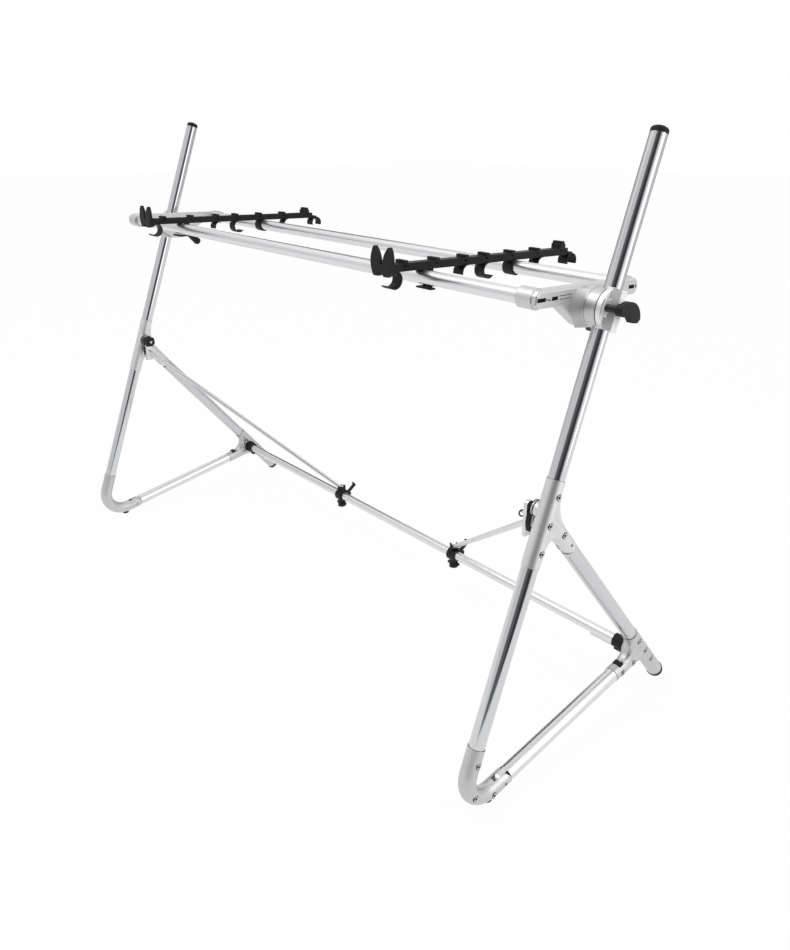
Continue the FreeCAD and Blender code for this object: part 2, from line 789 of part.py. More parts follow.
# Rear node: foot sleeve, arm to the base tube, web, saddle face and button pocket
ARM = (1, CORNER)
at_b = ("0", "0", "-side")
node_web = plate("YZ_Plane", web_points("-side", "-", "node_obtuse_r", "node_acute_r"),
                 {1: ("node_obtuse_r", 1), 3: ("node_acute_r", 1)},
                 "web_thick", "web_round", is_web_arc(("node_obtuse_r", "node_acute_r")))
SADDLE_N = "(cross_y-side*sin(lean))*cos(strut_lean)+(cross_z-side*cos(lean))*sin(strut_lean)"
SADDLE_T = "(cross_y-side*sin(lean))*sin(strut_lean)-(cross_z-side*cos(lean))*cos(strut_lean)"
saddle_at = ("-boss_face", SADDLE_N, "-(%s)" % SADDLE_T)
node_body = fuse(
    cyl(RC, "foot_end-node_top", ("0", "0", "-foot_end")),
    cyl(SPIGOT, "spigot_len+cast_od/2", ("0", "0", "-node_top-cast_od/2")),
    cyl(BRANCH_R, "arm_reach-seam_gap", at_b, turn=ARM),
    cyl(SPIGOT, "arm_reach+spigot_len", at_b, turn=ARM),
    node_web,
    cyl("saddle_r", "boss_face", saddle_at, "X"))


def on_arm(reach, up):
    """A place on the arm from B in strut axes: reach along the arm, up across it."""
    return ("-(%s)*sin(%s)+(%s)*cos(%s)" % (reach, CORNER, up, CORNER),
            "-side+(%s)*cos(%s)+(%s)*sin(%s)" % (reach, CORNER, up, CORNER))


POCKET_UP = "cast_od/2-button_deep"
pocket_y, pocket_z = on_arm("arm_reach-button_back-button_len/2-move_gap", POCKET_UP)
pocket = block(("button_w+2*move_gap", "cast_od", "button_len+2*move_gap"),
               ("-button_w/2-move_gap", pocket_y, pocket_z), turn=ARM)
NODE_SCREWS = [
    (RC, "0", "-node_screw_one"),
    (RC, "0", "-node_screw_two"),
    (RC, "0", "-node_screw_three"),
    (BRANCH_R,) + on_arm("arm_screw_in", "0"),
    (BRANCH_R,) + on_arm("arm_screw_out", "0"),
]
rear_node = cut(node_body, pocket,
                cyl("foot_plug_r+fit_gap", "foot_plug_len+fit_gap", ("0", "0", "-foot_end")),
                *[screw_seat(*spot) for spot in NODE_SCREWS])
both(stand_in(rear_node, "strut"), "rear_node")

button_y, button_z = on_arm("arm_reach-button_back-button_len/2", POCKET_UP + "+button_stroke+move_gap")
button = block(("button_w", "button_deep-button_stroke", "button_len"),
               ("-button_w/2", button_y, button_z), turn=ARM)
both(stand_in(group(button), "strut"), "latch_button")

foot_cap = fuse(
    cyl(RC, "foot_cap_len", ("0", "0", "-foot_end-foot_cap_len")),
    cyl("foot_plug_r", "foot_plug_len+foot_cap_len", ("0", "0", "-foot_end-foot_cap_len")))
both(stand_in(foot_cap, "strut"), "foot_cap")

# Screws
right_screws = stand_in(group(*[screw(*spot) for spot in JOINT_SCREWS + ELBOW_SCREWS]), "upright")
left_screws = doc.addObject("Part::Mirroring", "left_screws")
left_screws.Source = right_screws
left_screws.Normal = FreeCAD.Vector(1, 0, 0)
right_node_screws = stand_in(group(*[screw(*spot) for spot in NODE_SCREWS]), "strut")
left_node_screws = doc.addObject("Part::Mirroring", "left_node_screws")
left_node_screws.Source = right_node_screws
left_node_screws.Normal = FreeCAD.Vector(1, 0, 0)
node(group(right_screws, left_screws, right_node_screws, left_node_screws), "frame_screws")
left_pins = doc.addObject("Part::Mirroring", "left_pins")
left_pins.Source = right_pins
left_pins.Normal = FreeCAD.Vector(1, 0, 0)
node(group(right_pins, left_pins), "fold_pins")

# Cross tube, its saddles and their latches
CROSS_R = "cross_od/2"
CROSS_END = "(%s-cross_inset)" % HALF
cross = cut(cyl(CROSS_R, "2*" + CROSS_END, ("-" + CROSS_END, "0", "0"), "X"),
            cyl(CROSS_R + "-cross_wall", "2*" + CROSS_END, ("-" + CROSS_END, "0", "0"), "X"))
node(stand_in(cross, "cross"), "cross_tube")

FACE = "(%s-boss_face)" % HALF
CUP_IN = "(%s-saddle_plate-cup_len)" % FACE
cup_outer = cyl(CROSS_R + "+cup_wall", "cup_len+saddle_plate/2", (CUP_IN, "0", "0"), "X")
cup_mouth = block(("cup_len", "2*saddle_r", "cross_od/2"), (CUP_IN, "cross_od/4", "-cross_od/4"))
saddle_ear = block(("latch_w*2", "latch_w+2*latch_ear", "cup_wall+latch_thick+2*latch_pin_r"),
                   (CUP_IN, "latch_set-latch_w/2-latch_ear",
                    "-(%s+cup_wall+latch_thick+2*latch_pin_r)" % CROSS_R))
ear_slot = block(("latch_w*4", "latch_w+2*move_gap", "cup_wall+latch_thick+2*latch_pin_r"),
                 ("%s-latch_w*2" % CUP_IN, "latch_set-latch_w/2-move_gap",
                  "-(%s+2*cup_wall+latch_thick+2*latch_pin_r)" % CROSS_R))
LATCH_X = "(%s+latch_w)" % CUP_IN
LATCH_Z = "-(%s+cup_wall+latch_thick/2+latch_pin_r)" % CROSS_R
EAR_Y = "(latch_set-latch_w/2-latch_ear)"
BAR_Y = "(latch_set-latch_w/2)"
saddle = fuse(
    cut(fuse(cyl("saddle_r", "saddle_plate", ("%s-saddle_plate" % FACE, "0", "0"), "X"), cup_outer, saddle_ear),
        cyl(CROSS_R + "+fit_gap", "%s-(%s)+fit_gap" % (CROSS_END, CUP_IN), (CUP_IN, "0", "0"), "X"),
        cup_mouth, ear_slot),
    cyl("latch_pin_r/2", "latch_w+2*latch_ear", (LATCH_X, EAR_Y, LATCH_Z), "Y"))
both(stand_in(saddle, "cross"), "cross_saddle")

latch = cut(
    fuse(cyl("latch_thick/2+latch_pin_r/2", "latch_w", (LATCH_X, BAR_Y, LATCH_Z), "Y"),
         block(("latch_len", "latch_w", "latch_thick"),
               ("%s-latch_len" % LATCH_X, BAR_Y, "%s-latch_thick/2" % LATCH_Z)),
         cyl("latch_thick", "latch_w", ("%s-latch_len" % LATCH_X, BAR_Y, LATCH_Z), "Y")),
    cyl("latch_pin_r/2+fit_gap", "latch_w", (LATCH_X, BAR_Y, LATCH_Z), "Y"))
both(stand_in(latch, "cross"), "saddle_latch")

# Braces: hub on the leg joint, rod with a hanger plate and an eye, clip on the cross tube
HUB_X = "(%s-boss_face)" % HALF
HUB_Y = "(vertex_y+hub_s*sin(lean))"
HUB_Z = "(vertex_z+hub_s*cos(lean))"
STUD = "(hub_bolt_r-fit_gap)"
hub = fuse(
    cyl("hub_r", "hub_plate", ("-boss_face-hub_plate", "0", "hub_s"), "X"),
    cyl(STUD, "boss_face-fit_gap+hub_plate+eye_thick+lever_thick+2*move_gap",
        ("-boss_face-hub_plate-eye_thick-lever_thick-2*move_gap", "0", "hub_s"), "X"))
both(stand_in(hub, "upright"), "brace_hub")

EYE_X = "(%s-hub_plate-lever_thick-2*move_gap-eye_thick/2)" % HUB_X
END_Y = "(vertex_y+cross_y)"
END_Z = "(vertex_z+cross_z+clip_pin_up)"
RUN_X = "(clip_x-%s)" % EYE_X
RUN_Y = "(%s-%s)" % (END_Y, HUB_Y)
RUN_Z = "(%s-%s+rod_drop)" % (END_Z, HUB_Z)
RUN = "sqrt(%s*%s+%s*%s+%s*%s)" % (RUN_X, RUN_X, RUN_Y, RUN_Y, RUN_Z, RUN_Z)
rod = doc.addObject("Part::Cylinder", "brace_rod_bar")
bind(rod, "Radius", "brace_od/2")
bind(rod, "Height", RUN)
rod.Placement = FreeCAD.Placement(
    FreeCAD.Vector(),
    FreeCAD.Rotation(FreeCAD.Vector(-value(RUN_Y), value(RUN_X), 0),
                     value("acos(%s/%s)" % (RUN_Z, RUN))))
bind(rod, "Placement.Rotation.Axis.x", "-" + RUN_Y)
bind(rod, "Placement.Rotation.Axis.y", RUN_X)
bind(rod, "Placement.Rotation.Angle", "acos(%s/%s)" % (RUN_Z, RUN))
for letter, text in zip("xyz", (EYE_X, HUB_Y, HUB_Z + "-rod_drop")):
    bind(rod, "Placement.Base." + letter, text)
# the lower eye turns about a level pin square to the rod
YAW = "atan2(%s;%s)" % (RUN_Y, RUN_X)
LOW_EYE_R = "(clip_pin_r/2+brace_od/2)"
low_eye = cyl(LOW_EYE_R, "clip_slot-2*move_gap", axis="Y")
low_eye_bore = cyl("clip_pin_r+fit_gap", "clip_slot", axis="Y")


def level_turn(solid, shift):
    """Turn a piece drawn along Y to lie square to the rod, level, and put it at the lower eye."""
    holder = group(solid)
    holder.Placement = FreeCAD.Placement(
        FreeCAD.Vector(), FreeCAD.Rotation(FreeCAD.Vector(0, 0, 1), value(YAW)))
    bind(holder, "Placement.Rotation.Angle", YAW)
    bind(solid, "Placement.Base.y", shift)
    for letter, text in zip("xyz", ("clip_x", END_Y, END_Z)):
        bind(holder, "Placement.Base." + letter, text)
    return holder


PLATE_X = "%s-eye_thick/2" % EYE_X
hanger = fuse(
    cyl("eye_r", "eye_thick", (PLATE_X, HUB_Y, HUB_Z), "X"),
    block(("eye_thick", "2*eye_r", "plate_drop"), (PLATE_X, HUB_Y + "-eye_r", HUB_Z + "-plate_drop")))
brace = cut(fuse(rod, hanger, level_turn(low_eye, "-clip_slot/2+move_gap")),
            cyl("hub_bolt_r", "eye_thick", (PLATE_X, HUB_Y, HUB_Z), "X"), level_turn(low_eye_bore, "-clip_slot/2"))
both(brace, "brace_rod")

LEVER_X = "(-boss_face-hub_plate-move_gap-lever_thick)"
leaf = plate("YZ_Plane", [("0", "hub_s"), ("leaf_out", "hub_s-lever_len")],
             {0: ("leaf_r", 1), 1: ("leaf_r", 1)}, "lever_thick")
bind(leaf, "Placement.Base.x", LEVER_X + "+lever_thick/2")
hub_lever = cut(
    fuse(cyl("lever_r", "lever_thick", (LEVER_X, "0", "hub_s"), "X"), leaf),
    cyl("hub_bolt_r", "lever_thick", (LEVER_X, "0", "hub_s"), "X"))
both(stand_in(hub_lever, "upright"), "brace_lever")

CLIP_R = "(%s+clip_wall)" % CROSS_R
lug = block(("clip_lug_w", "clip_lug_w", "clip_pin_up+clip_lug_top"), ("-clip_lug_w/2", "-clip_lug_w/2", "0"))
lug_slot = block(("2*clip_lug_w", "clip_slot", "2*clip_lug_w"),
                 ("-clip_lug_w", "-clip_slot/2", "clip_pin_up-%s-move_gap" % LOW_EYE_R))


def clip_turn(solid):
    """Turn a piece of the clip about Z so that its slot takes the rod."""
    holder = group(solid)
    holder.Placement = FreeCAD.Placement(
        FreeCAD.Vector(), FreeCAD.Rotation(FreeCAD.Vector(0, 0, 1), value(YAW)))
    bind(holder, "Placement.Rotation.Angle", YAW)
    bind(holder, "Placement.Base.x", "clip_x")
    return holder


clip_pin = cyl("clip_pin_r", "clip_lug_w", ("0", "-clip_lug_w/2", "clip_pin_up"), "Y")
AXLE_Y = "(%s+clip_ear_out-clip_ear_h/2)" % CLIP_R
ears = block(("clip_w", "%s+clip_ear_out" % CLIP_R, "clip_ear_h"), ("clip_x-clip_w/2", "0", "-clip_ear_h/2"))
ears_slot = block(("clip_lever_w+2*move_gap", "2*clip_ear_out", "2*clip_ear_h"),
                  ("clip_x-clip_lever_w/2-move_gap", "%s+move_gap" % CLIP_R, "-clip_ear_h"))
axle = cyl("clip_axle_r", "clip_w", ("clip_x-clip_w/2", AXLE_Y, "0"), "X")
FOOT_Z = "-(%s+clip_foot_len)" % CROSS_R
clip_foot = fuse(
    cyl("clip_foot_r", "clip_foot_len", ("clip_x", "0", FOOT_Z)),
    block(("clip_bar_len", "clip_foot_r", "clip_bar_h"),
          ("clip_x-clip_bar_len/2", "-clip_foot_r/2", FOOT_Z + "+clip_bar_h")))
clip = fuse(
    cut(fuse(cyl(CLIP_R, "clip_w", ("clip_x-clip_w/2", "0", "0"), "X"), clip_turn(lug), ears, clip_foot),
        cyl(CROSS_R + "+fit_gap", "2*clip_w", ("clip_x-clip_w", "0", "0"), "X"),
        clip_turn(lug_slot), ears_slot),
    clip_turn(clip_pin), axle)
both(stand_in(clip, "cross"), "brace_clip")

clip_lever = cut(
    fuse(cyl("clip_lever_hub_r", "clip_lever_w", ("clip_x-clip_lever_w/2", AXLE_Y, "0"), "X"),
         block(("clip_lever_w", "clip_lever_len", "clip_lever_thick"),
               ("clip_x-clip_lever_w/2",
                AXLE_Y + "+clip_lever_thick/2*sin(clip_lever_turn)",
                "-clip_lever_thick/2*cos(clip_lever_turn)"), turn=(1, "clip_lever_turn")),
         block(("clip_lever_w", "clip_lever_thick", "clip_lever_tip"),
               ("clip_x-clip_lever_w/2",
                AXLE_Y + "+clip_lever_len*cos(clip_lever_turn)+clip_lever_thick/2*sin(clip_lever_turn)",
                "clip_lever_len*sin(clip_lever_turn)-clip_lever_thick/2*cos(clip_lever_turn)"),
               turn=(1, "clip_lever_turn"))),
    cyl("clip_axle_r+fit_gap", "clip_w", ("clip_x-clip_w/2", AXLE_Y, "0"), "X"))
both(stand_in(clip_lever, "cross"), "clip_lever")

# Bed bracket: two tube sockets on a wing, and a boss on the clamp's axis
WING_MID = "wing_face-wing_thick/2"
NOSE = "(bed_half+wing_nose)"
NECK = "(bed_half+wing_nose-wing_bevel)"
TAIL = "(bed_half+wing_tail)"
RUMP = "(bed_half+wing_tail-wing_bevel)"
TOP = "(bed_up+wing_h/2)"
LOW = "(bed_up-wing_h/2)"
WING = [
    ("-" + NOSE, TOP + "-wing_bevel"), ("-" + NOSE, LOW + "+wing_bevel"),
    ("-" + NECK, LOW), ("-wing_root", LOW),
    ("-boss_r/2", "-wing_drop"), ("boss_r/2", "-wing_drop"),
    ("wing_root", LOW), (RUMP, LOW),
    (TAIL, LOW + "+wing_bevel"), (TAIL, TOP + "-wing_bevel"),
    (RUMP, TOP), ("-" + NECK, TOP),
]


def edge_is_outer(limit):
    """Pick the outline edges of the wing's outboard face."""
    def pick(edge):
        box = edge.BoundBox
        return box.XMin > value(limit) * 0.98 and box.XLength < value("fit_gap")
    return pick


wing = plate("YZ_Plane", WING, {}, "wing_thick", "wing_bevel/2", edge_is_outer("wing_thick/2"))
bind(wing, "Placement.Base.x", WING_MID)
SOCKETS = [("-bed_half", "bed_up"), ("bed_half", "bed_up")]
flare = common(
    cone("boss_r+flare_out", "boss_r", "flare_len", ("wing_face", "0", "0"), "X"),
    block(("flare_len", "4*boss_r", TOP + "-wing_bevel/2+wing_drop"), ("wing_face", "-2*boss_r", "-wing_drop")))
bracket_solid = fuse(
    wing, flare,
    *[cyl("socket_r", "wing_face-wing_thick/2-socket_in", ("socket_in", y_at, z_at), "X") for y_at, z_at in SOCKETS],
    cyl("boss_r", "boss_end-wing_face+wing_thick/2", (WING_MID, "0", "0"), "X"))


def slot_at(start, length):
    """One clamp slot in the wing's outboard face."""
    return block(("2*slot_deep", length, "slot_h"), ("wing_face-slot_deep", start, "bed_up-slot_h/2"))


def groove_at(sign):
    """One shallow line along the wing's outboard face."""
    return block(("2*groove_deep", "groove_len", "groove_h"),
                 ("wing_face-groove_deep", "groove_y", "bed_up%sgroove_off-groove_h/2" % sign))


bracket = cut(
    bracket_solid,
    *[cyl("bed_od/2+fit_gap", "bed_end-socket_in+fit_gap", ("socket_in", y_at, z_at), "X") for y_at, z_at in SOCKETS],
    cyl("boss_bore_r", "boss_end-socket_in", ("socket_in", "0", "0"), "X"),
    slot_at("slot_front_y", "slot_front_len"),
    slot_at("slot_mid_y", "slot_mid_len"),
    slot_at("slot_rear_y", "slot_rear_len"),
    groove_at("+"), groove_at("-"))
both(stand_in(bracket, "bed"), "bed_bracket")

# Bed tubes
for word, (y_at, z_at) in zip(("front", "rear"), SOCKETS):
    bed_tube = cut(cyl("bed_od/2", "2*bed_end", ("-bed_end", y_at, z_at), "X"),
                   cyl("bed_od/2-bed_wall", "2*bed_end", ("-bed_end", y_at, z_at), "X"))
    node(stand_in(bed_tube, "bed"), word + "_bed_tube")

# Clamp: a yoke behind the upright with the bracket's pivot bolt, and a cap half before it
PIVOT_IN = "(%s-wing_face+wing_thick+tilt_hub_len*tilt_bore_share)" % HALF
UPRIGHT_BORE = ("tube_od/2+fit_gap", "4*yoke_r", ("0", "0", "-2*yoke_r"))
yoke = cut(
    fuse(cyl("yoke_r", "yoke_in", ("-yoke_in", "0", "0"), "X"),
         cyl("boss_bore_r-fit_gap", "%s-tube_od/2" % PIVOT_IN, ("-" + PIVOT_IN, "0", "0"), "X")),
    cyl(*UPRIGHT_BORE),
    cyl("stud_r+fit_gap", "stud_in", ("-stud_in", "-stud_off", "0"), "X"))
both(stand_in(yoke, "clamp"), "clamp_yoke")

CAP_HALF = "cap_block_w/2"
cap_block = plate("XY_Plane", [
    ("split_gap", "-" + CAP_HALF), ("yoke_out-cap_bevel", "-" + CAP_HALF),
    ("yoke_out", "cap_bevel-" + CAP_HALF), ("yoke_out", CAP_HALF + "-cap_bevel"),
    ("yoke_out-cap_bevel", CAP_HALF), ("split_gap", CAP_HALF)], {}, "cap_block_len")
clamp_cap = cut(
    fuse(cyl("yoke_r", "cap_disc", ("split_gap", "0", "0"), "X"), cap_block,
         block(("cap_disc+stud_frame_h", "stud_frame_w", "stud_frame_len"),
               ("split_gap", "-stud_off-stud_frame_w/2", "-stud_frame_len/2"))),
    cyl(*UPRIGHT_BORE),
    cyl("stud_r+fit_gap", "2*yoke_out", ("0", "-stud_off", "0"), "X"))
both(stand_in(clamp_cap, "clamp"), "clamp_cap")

# Clamp knob: stud, hub and a comma-shaped paddle
KNOB_X = "(yoke_out+stud_len)"
paddle = plate("YZ_Plane", [
    ("lobe_tip_y", "lobe_tip_z"), ("lobe_root_y", "lobe_root_z"), ("lobe_neck_y", "lobe_neck_z"),
    ("lobe_low_y", "lobe_low_z"), ("lobe_end_y", "lobe_end_z")],
    {0: ("lobe_back_r", 1)}, "paddle_thick")
bind(paddle, "Placement.Base.x", KNOB_X + "+knob_hub_len/4")
bind(paddle, "Placement.Base.y", "-stud_off")
knob = fuse(
    cyl("stud_r", "%s+stud_in-move_gap" % KNOB_X, ("move_gap-stud_in", "-stud_off", "0"), "X"),
    cyl("knob_hub_r", "knob_hub_len", (KNOB_X + "-knob_hub_len/3", "-stud_off", "0"), "X"),
    paddle)
both(stand_in(knob, "clamp"), "clamp_knob")

# Tilt lever on the inner end of the pivot bolt
TILT_X = "(wing_face-wing_thick-move_gap-tilt_hub_len)"


def along_lever(reach, across):
    """Place a distance along the tilt lever and across it in the bed's axes."""
    return ("%s*cos(tilt_lever_turn)+(%s)*sin(tilt_lever_turn)" % (reach, across),
            "(%s)*cos(tilt_lever_turn)-%s*sin(tilt_lever_turn)" % (across, reach))


grip = plate("YZ_Plane", [
    along_lever("0", "-tilt_neck"), along_lever("tilt_lever_len", "-tilt_tip_r"),
    along_lever("tilt_lever_len", "tilt_tip_r"), along_lever("0", "tilt_neck")],
    {1: ("tilt_tip_r*tilt_round_share", 1)}, "tilt_lever_thick")
bind(grip, "Placement.Base.x", TILT_X + "+tilt_lever_thick/2")
tilt = cut(
    fuse(cyl("tilt_hub_r", "tilt_hub_len", (TILT_X, "0", "0"), "X"), grip),
    cyl("boss_bore_r", "tilt_hub_len+move_gap", (TILT_X + "+tilt_hub_len*(1-tilt_bore_share)", "0", "0"), "X"))
both(stand_in(tilt, "bed"), "tilt_lever")

# Support arm: bar, ribs, fork of two petals and hooks, with a clamp leg for its lever
BAR_Z = "(bed_up+bed_od/2+arm_seat)"
JAW_IN = "(bed_od/2+jaw_gap)"
JAW_OUT = "(bed_od/2+jaw_gap+hook_wall)"


def hook(centre, mouth_start, mouth_len, mouth_z, mouth_h):
    """A round hook under the bar, open where the mouth is."""
    return cut(
        cyl(JAW_OUT, "hook_w", ("arm_x-hook_w/2", centre, "bed_up"), "X"),
        cyl(JAW_IN, "hook_w", ("arm_x-hook_w/2", centre, "bed_up"), "X"),
        block(("hook_w", mouth_len, mouth_h), ("arm_x-hook_w/2", mouth_start, mouth_z)))


def tongue(centre):
    """The front upper quarter of such a hook, hanging from the bar."""
    return cut(
        cyl(JAW_OUT, "hook_w", ("arm_x-hook_w/2", centre, "bed_up"), "X"),
        cyl(JAW_IN, "hook_w", ("arm_x-hook_w/2", centre, "bed_up"), "X"),
        block(("hook_w", "2*" + JAW_OUT, "4*" + JAW_OUT), ("arm_x-hook_w/2", centre, "bed_up-2*" + JAW_OUT)),
        block(("hook_w", "4*" + JAW_OUT, "2*" + JAW_OUT),
              ("arm_x-hook_w/2", centre + "-2*" + JAW_OUT, "bed_up-tongue_drop-2*" + JAW_OUT)))


JHOOK = "(jhook_y-jhook_set)"
FREE = "(hook_free_y+free_set)"
ENDCLIP = "(arm_rear+clip_set)"
arm_pieces = [
    block(("arm_w", "arm_rear-arm_front", "arm_h"), ("arm_x-arm_w/2", "arm_front", BAR_Z)),
    hook(JHOOK, JHOOK + "-2*" + JAW_OUT, "2*" + JAW_OUT, "bed_up-lip_drop", "4*" + JAW_OUT),
    hook(FREE, FREE, "2*" + JAW_OUT, "bed_up-lip_drop", "4*" + JAW_OUT),
    hook("bed_half", "bed_half", "2*" + JAW_OUT, "bed_up-lip_drop", "4*" + JAW_OUT),
    hook(ENDCLIP, ENDCLIP + "-2*" + JAW_OUT, "4*" + JAW_OUT, "bed_up-2*" + JAW_OUT, "2*" + JAW_OUT + "-clip_mouth"),
    tongue("tab_one_y"),
    tongue("tab_two_y"),
    block(("hook_w", "clip_set", "clip_neck"), ("arm_x-hook_w/2", "arm_rear", BAR_Z)),
]
RIB_Z = BAR_Z + "+arm_h"
for word, place in PAD_PLACES:
    if word == "pad_seven":
        arm_pieces.append(block(("pad_x", "block_y", "block_h"), ("arm_x-pad_x/2", word + "-block_y/2", RIB_Z)))
        RIB_TOP = RIB_Z + "+block_h"
    else:
        RIB_TOP = RIB_Z
    arm_pieces.append(block(("pad_x", "pad_y", "pad_h"), ("arm_x-pad_x/2", word + "-pad_y/2", RIB_TOP)))
for sign in ("-", "+"):
    petal = plate("XZ_Plane", [
        ("petal_foot/2", "-petal_low"), (sign + "petal_splay+petal_tip/2", "fork_up-petal_tip/2"),
        (sign + "petal_splay-petal_tip/2", "fork_up-petal_tip/2"), ("-petal_foot/2", "-petal_low")],
        {0: ("petal_r", 1), 1: ("petal_tip*petal_round_share", 1), 2: ("petal_r", 1)}, "fork_thick")
    bind(petal, "Placement.Base.x", "arm_x%sfork_half" % sign)
    bind(petal, "Placement.Base.y", "fork_y")
    bind(petal, "Placement.Base.z", BAR_Z)
    arm_pieces.append(petal)
arm_pieces.append(block(("2*fork_half", "fork_root", "arm_h"), ("arm_x-fork_half", "fork_y-fork_thick/2", BAR_Z)))
arm_pieces.append(cyl("bowl_r", "2*fork_half", ("arm_x-fork_half", "fork_y+bowl_r-fork_thick/2", BAR_Z + "+bowl_r/2"), "X"))
LEG_Y = "(-bed_half+bed_od/2+jaw_gap)"
PIN_Y = "(%s+arm_leg_thick/2)" % LEG_Y
PIN_Z = "(bed_up-bed_od/2-jaw_gap-arm_lever_h/2)"
arm_pieces.append(block(("arm_w", "arm_leg_thick", "%s-%s+arm_leg_thick/2" % (BAR_Z, PIN_Z)),
                        ("arm_x-arm_w/2", LEG_Y, PIN_Z + "-arm_leg_thick/2")))
arm = fuse(
    cut(fuse(*arm_pieces),
        block(("arm_lever_w+2*move_gap", "2*arm_leg_thick", "2*arm_lever_h"),
              ("arm_x-arm_lever_w/2-move_gap", LEG_Y + "-arm_leg_thick/2", PIN_Z + "-arm_lever_h")),
        *[block(("2*arm_w", "notch_y", "notch_h"), ("arm_x-arm_w", word + "-notch_y/2", RIB_Z + "-notch_drop"))
          for word, place in PAD_PLACES]),
    cyl("arm_pin_r", "arm_w", ("arm_x-arm_w/2", PIN_Y, PIN_Z), "X"))
both(stand_in(arm, "bed"), "support_arm")

arm_lever = cut(
    fuse(cyl("arm_lever_h/2", "arm_lever_w", ("arm_x-arm_lever_w/2", PIN_Y, PIN_Z), "X"),
         block(("arm_lever_w", "%s+bed_half" % PIN_Y, "arm_lever_h/2"),
               ("arm_x-arm_lever_w/2", "-bed_half", PIN_Z + "-arm_lever_h/2")),
         block(("arm_lever_len", "arm_lever_w", "arm_lever_h/2"),
               ("arm_x-arm_lever_w/2", "-bed_half-arm_lever_w/2-move_gap", PIN_Z + "-arm_lever_h/2"))),
    cyl("arm_pin_r+fit_gap", "arm_w", ("arm_x-arm_w/2", PIN_Y, PIN_Z), "X"))
both(stand_in(arm_lever, "bed"), "arm_lever")

# Check and write
doc.recompute()
for obj in doc.Objects:
    if "Invalid" in obj.State or "Error" in obj.State:
        raise RuntimeError("bad object " + obj.Label)
os.makedirs("parts", exist_ok=True)
for obj in NODES:
    shape = obj.Shape
    if shape.isNull() or not shape.isValid():
        raise RuntimeError("bad shape " + obj.Label)
    shape.exportStep("parts/%s.step" % obj.Label)
    print(obj.Label, len(shape.Solids), round(shape.Volume, 1))
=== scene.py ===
"""Looks of a free-standing keyboard stand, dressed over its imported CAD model."""

import json
import logging
import math
from collections.abc import Iterable, Sequence
from dataclasses import dataclass, field
from enum import Enum
from functools import partial

import bmesh
import bpy
from bmesh.types import BMesh, BMVert
from bpy.types import Material, Mesh, Node, NodeSocket, NodeTree, Object
from mathutils import Matrix, Vector

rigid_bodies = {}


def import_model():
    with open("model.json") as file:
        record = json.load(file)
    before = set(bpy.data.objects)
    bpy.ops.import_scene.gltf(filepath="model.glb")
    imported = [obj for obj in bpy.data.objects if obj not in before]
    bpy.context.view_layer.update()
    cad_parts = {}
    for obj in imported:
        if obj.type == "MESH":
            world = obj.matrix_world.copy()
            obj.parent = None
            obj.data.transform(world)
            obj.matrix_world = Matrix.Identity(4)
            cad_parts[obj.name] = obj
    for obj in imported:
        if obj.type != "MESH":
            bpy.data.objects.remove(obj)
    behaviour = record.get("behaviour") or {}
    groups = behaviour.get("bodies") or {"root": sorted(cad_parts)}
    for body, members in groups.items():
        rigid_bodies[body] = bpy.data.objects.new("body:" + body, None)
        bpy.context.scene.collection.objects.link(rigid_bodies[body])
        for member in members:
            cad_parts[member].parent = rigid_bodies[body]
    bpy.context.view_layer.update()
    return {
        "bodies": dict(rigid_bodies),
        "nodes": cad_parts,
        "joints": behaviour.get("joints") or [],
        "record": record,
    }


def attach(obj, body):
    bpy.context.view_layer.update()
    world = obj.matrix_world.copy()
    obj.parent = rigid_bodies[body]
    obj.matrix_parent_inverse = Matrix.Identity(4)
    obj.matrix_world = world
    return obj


LOG = logging.getLogger("keyboard_stand")
MM = 0.001
PHOTO_WIDTH = 790
PHOTO_HEIGHT = 950
# most of a noise pattern lies between these values
NOISE_RANGE = (0.3, 0.7)
# rays that look for a sharp edge, and steps round the section of a ring and round a pin
EDGE_SAMPLES = 6
RING_STEPS = 10
PIN_STEPS = 32


class Side(Enum):
    """The two side frames of the stand; the value is the sign of their X."""

    RIGHT = 1
    LEFT = -1

    @property
    def word(self) -> str:
        """Word that starts the side's node and body names."""
        return self.name.lower()


class Body(Enum):
    """Bodies of the CAD model that carry pieces of both sides."""

    FRAME = "frame"
    CARRIAGE = "bed_carriage"
    BED = "bed"


@dataclass(frozen=True)
class Layout:
    """Layout of the stand in millimetres and degrees, the same as its CAD model's."""

    side: float = 480.0
    lean: float = 20.0
    strut_lean: float = 40.0
    base_rise: float = 10.0
    half_span: float = 647.0
    vertex_y: float = -279.45
    vertex_z: float = 2.824
    clamp_s: float = 781.0
    hub_s: float = 485.0
    bed_pitch: float = 2.0

    def place(self, x: float, along: float, turn: float) -> Matrix:
        """Frame at a distance along the upright from the elbow's vertex.

        Args:
            x: Sideways place of the frame.
            along: Distance from the vertex along the leaning upright.
            turn: Turn of the frame about X in degrees.

        Returns:
            Matrix from the frame's millimetres to the stand's.
        """
        lean = math.radians(self.lean)
        spot = (x, self.vertex_y + along * math.sin(lean), self.vertex_z + along * math.cos(lean))
        return Matrix.Translation(spot) @ Matrix.Rotation(math.radians(turn), 4, "X")

    @property
    def upright(self) -> Matrix:
        """Z runs up the right upright from the vertex, Y to the rear."""
        return self.place(self.half_span, 0.0, -self.lean)

    @property
    def strut(self) -> Matrix:
        """Z runs up the right rear strut, zero where it meets the upright's axis."""
        return self.place(self.half_span, self.side, self.strut_lean)

    @property
    def clamp(self) -> Matrix:
        """The upright's axes at the right clamp bolt."""
        return self.place(self.half_span, self.clamp_s, -self.lean)

    @property
    def hub(self) -> Matrix:
        """The upright's axes at the hub of the right brace."""
        return self.place(self.half_span, self.hub_s, -self.lean)

    @property
    def bed(self) -> Matrix:
        """Axes of the bed on the line through both clamp bolts."""
        return self.place(0.0, self.clamp_s, -self.bed_pitch)


LAYOUT = Layout()


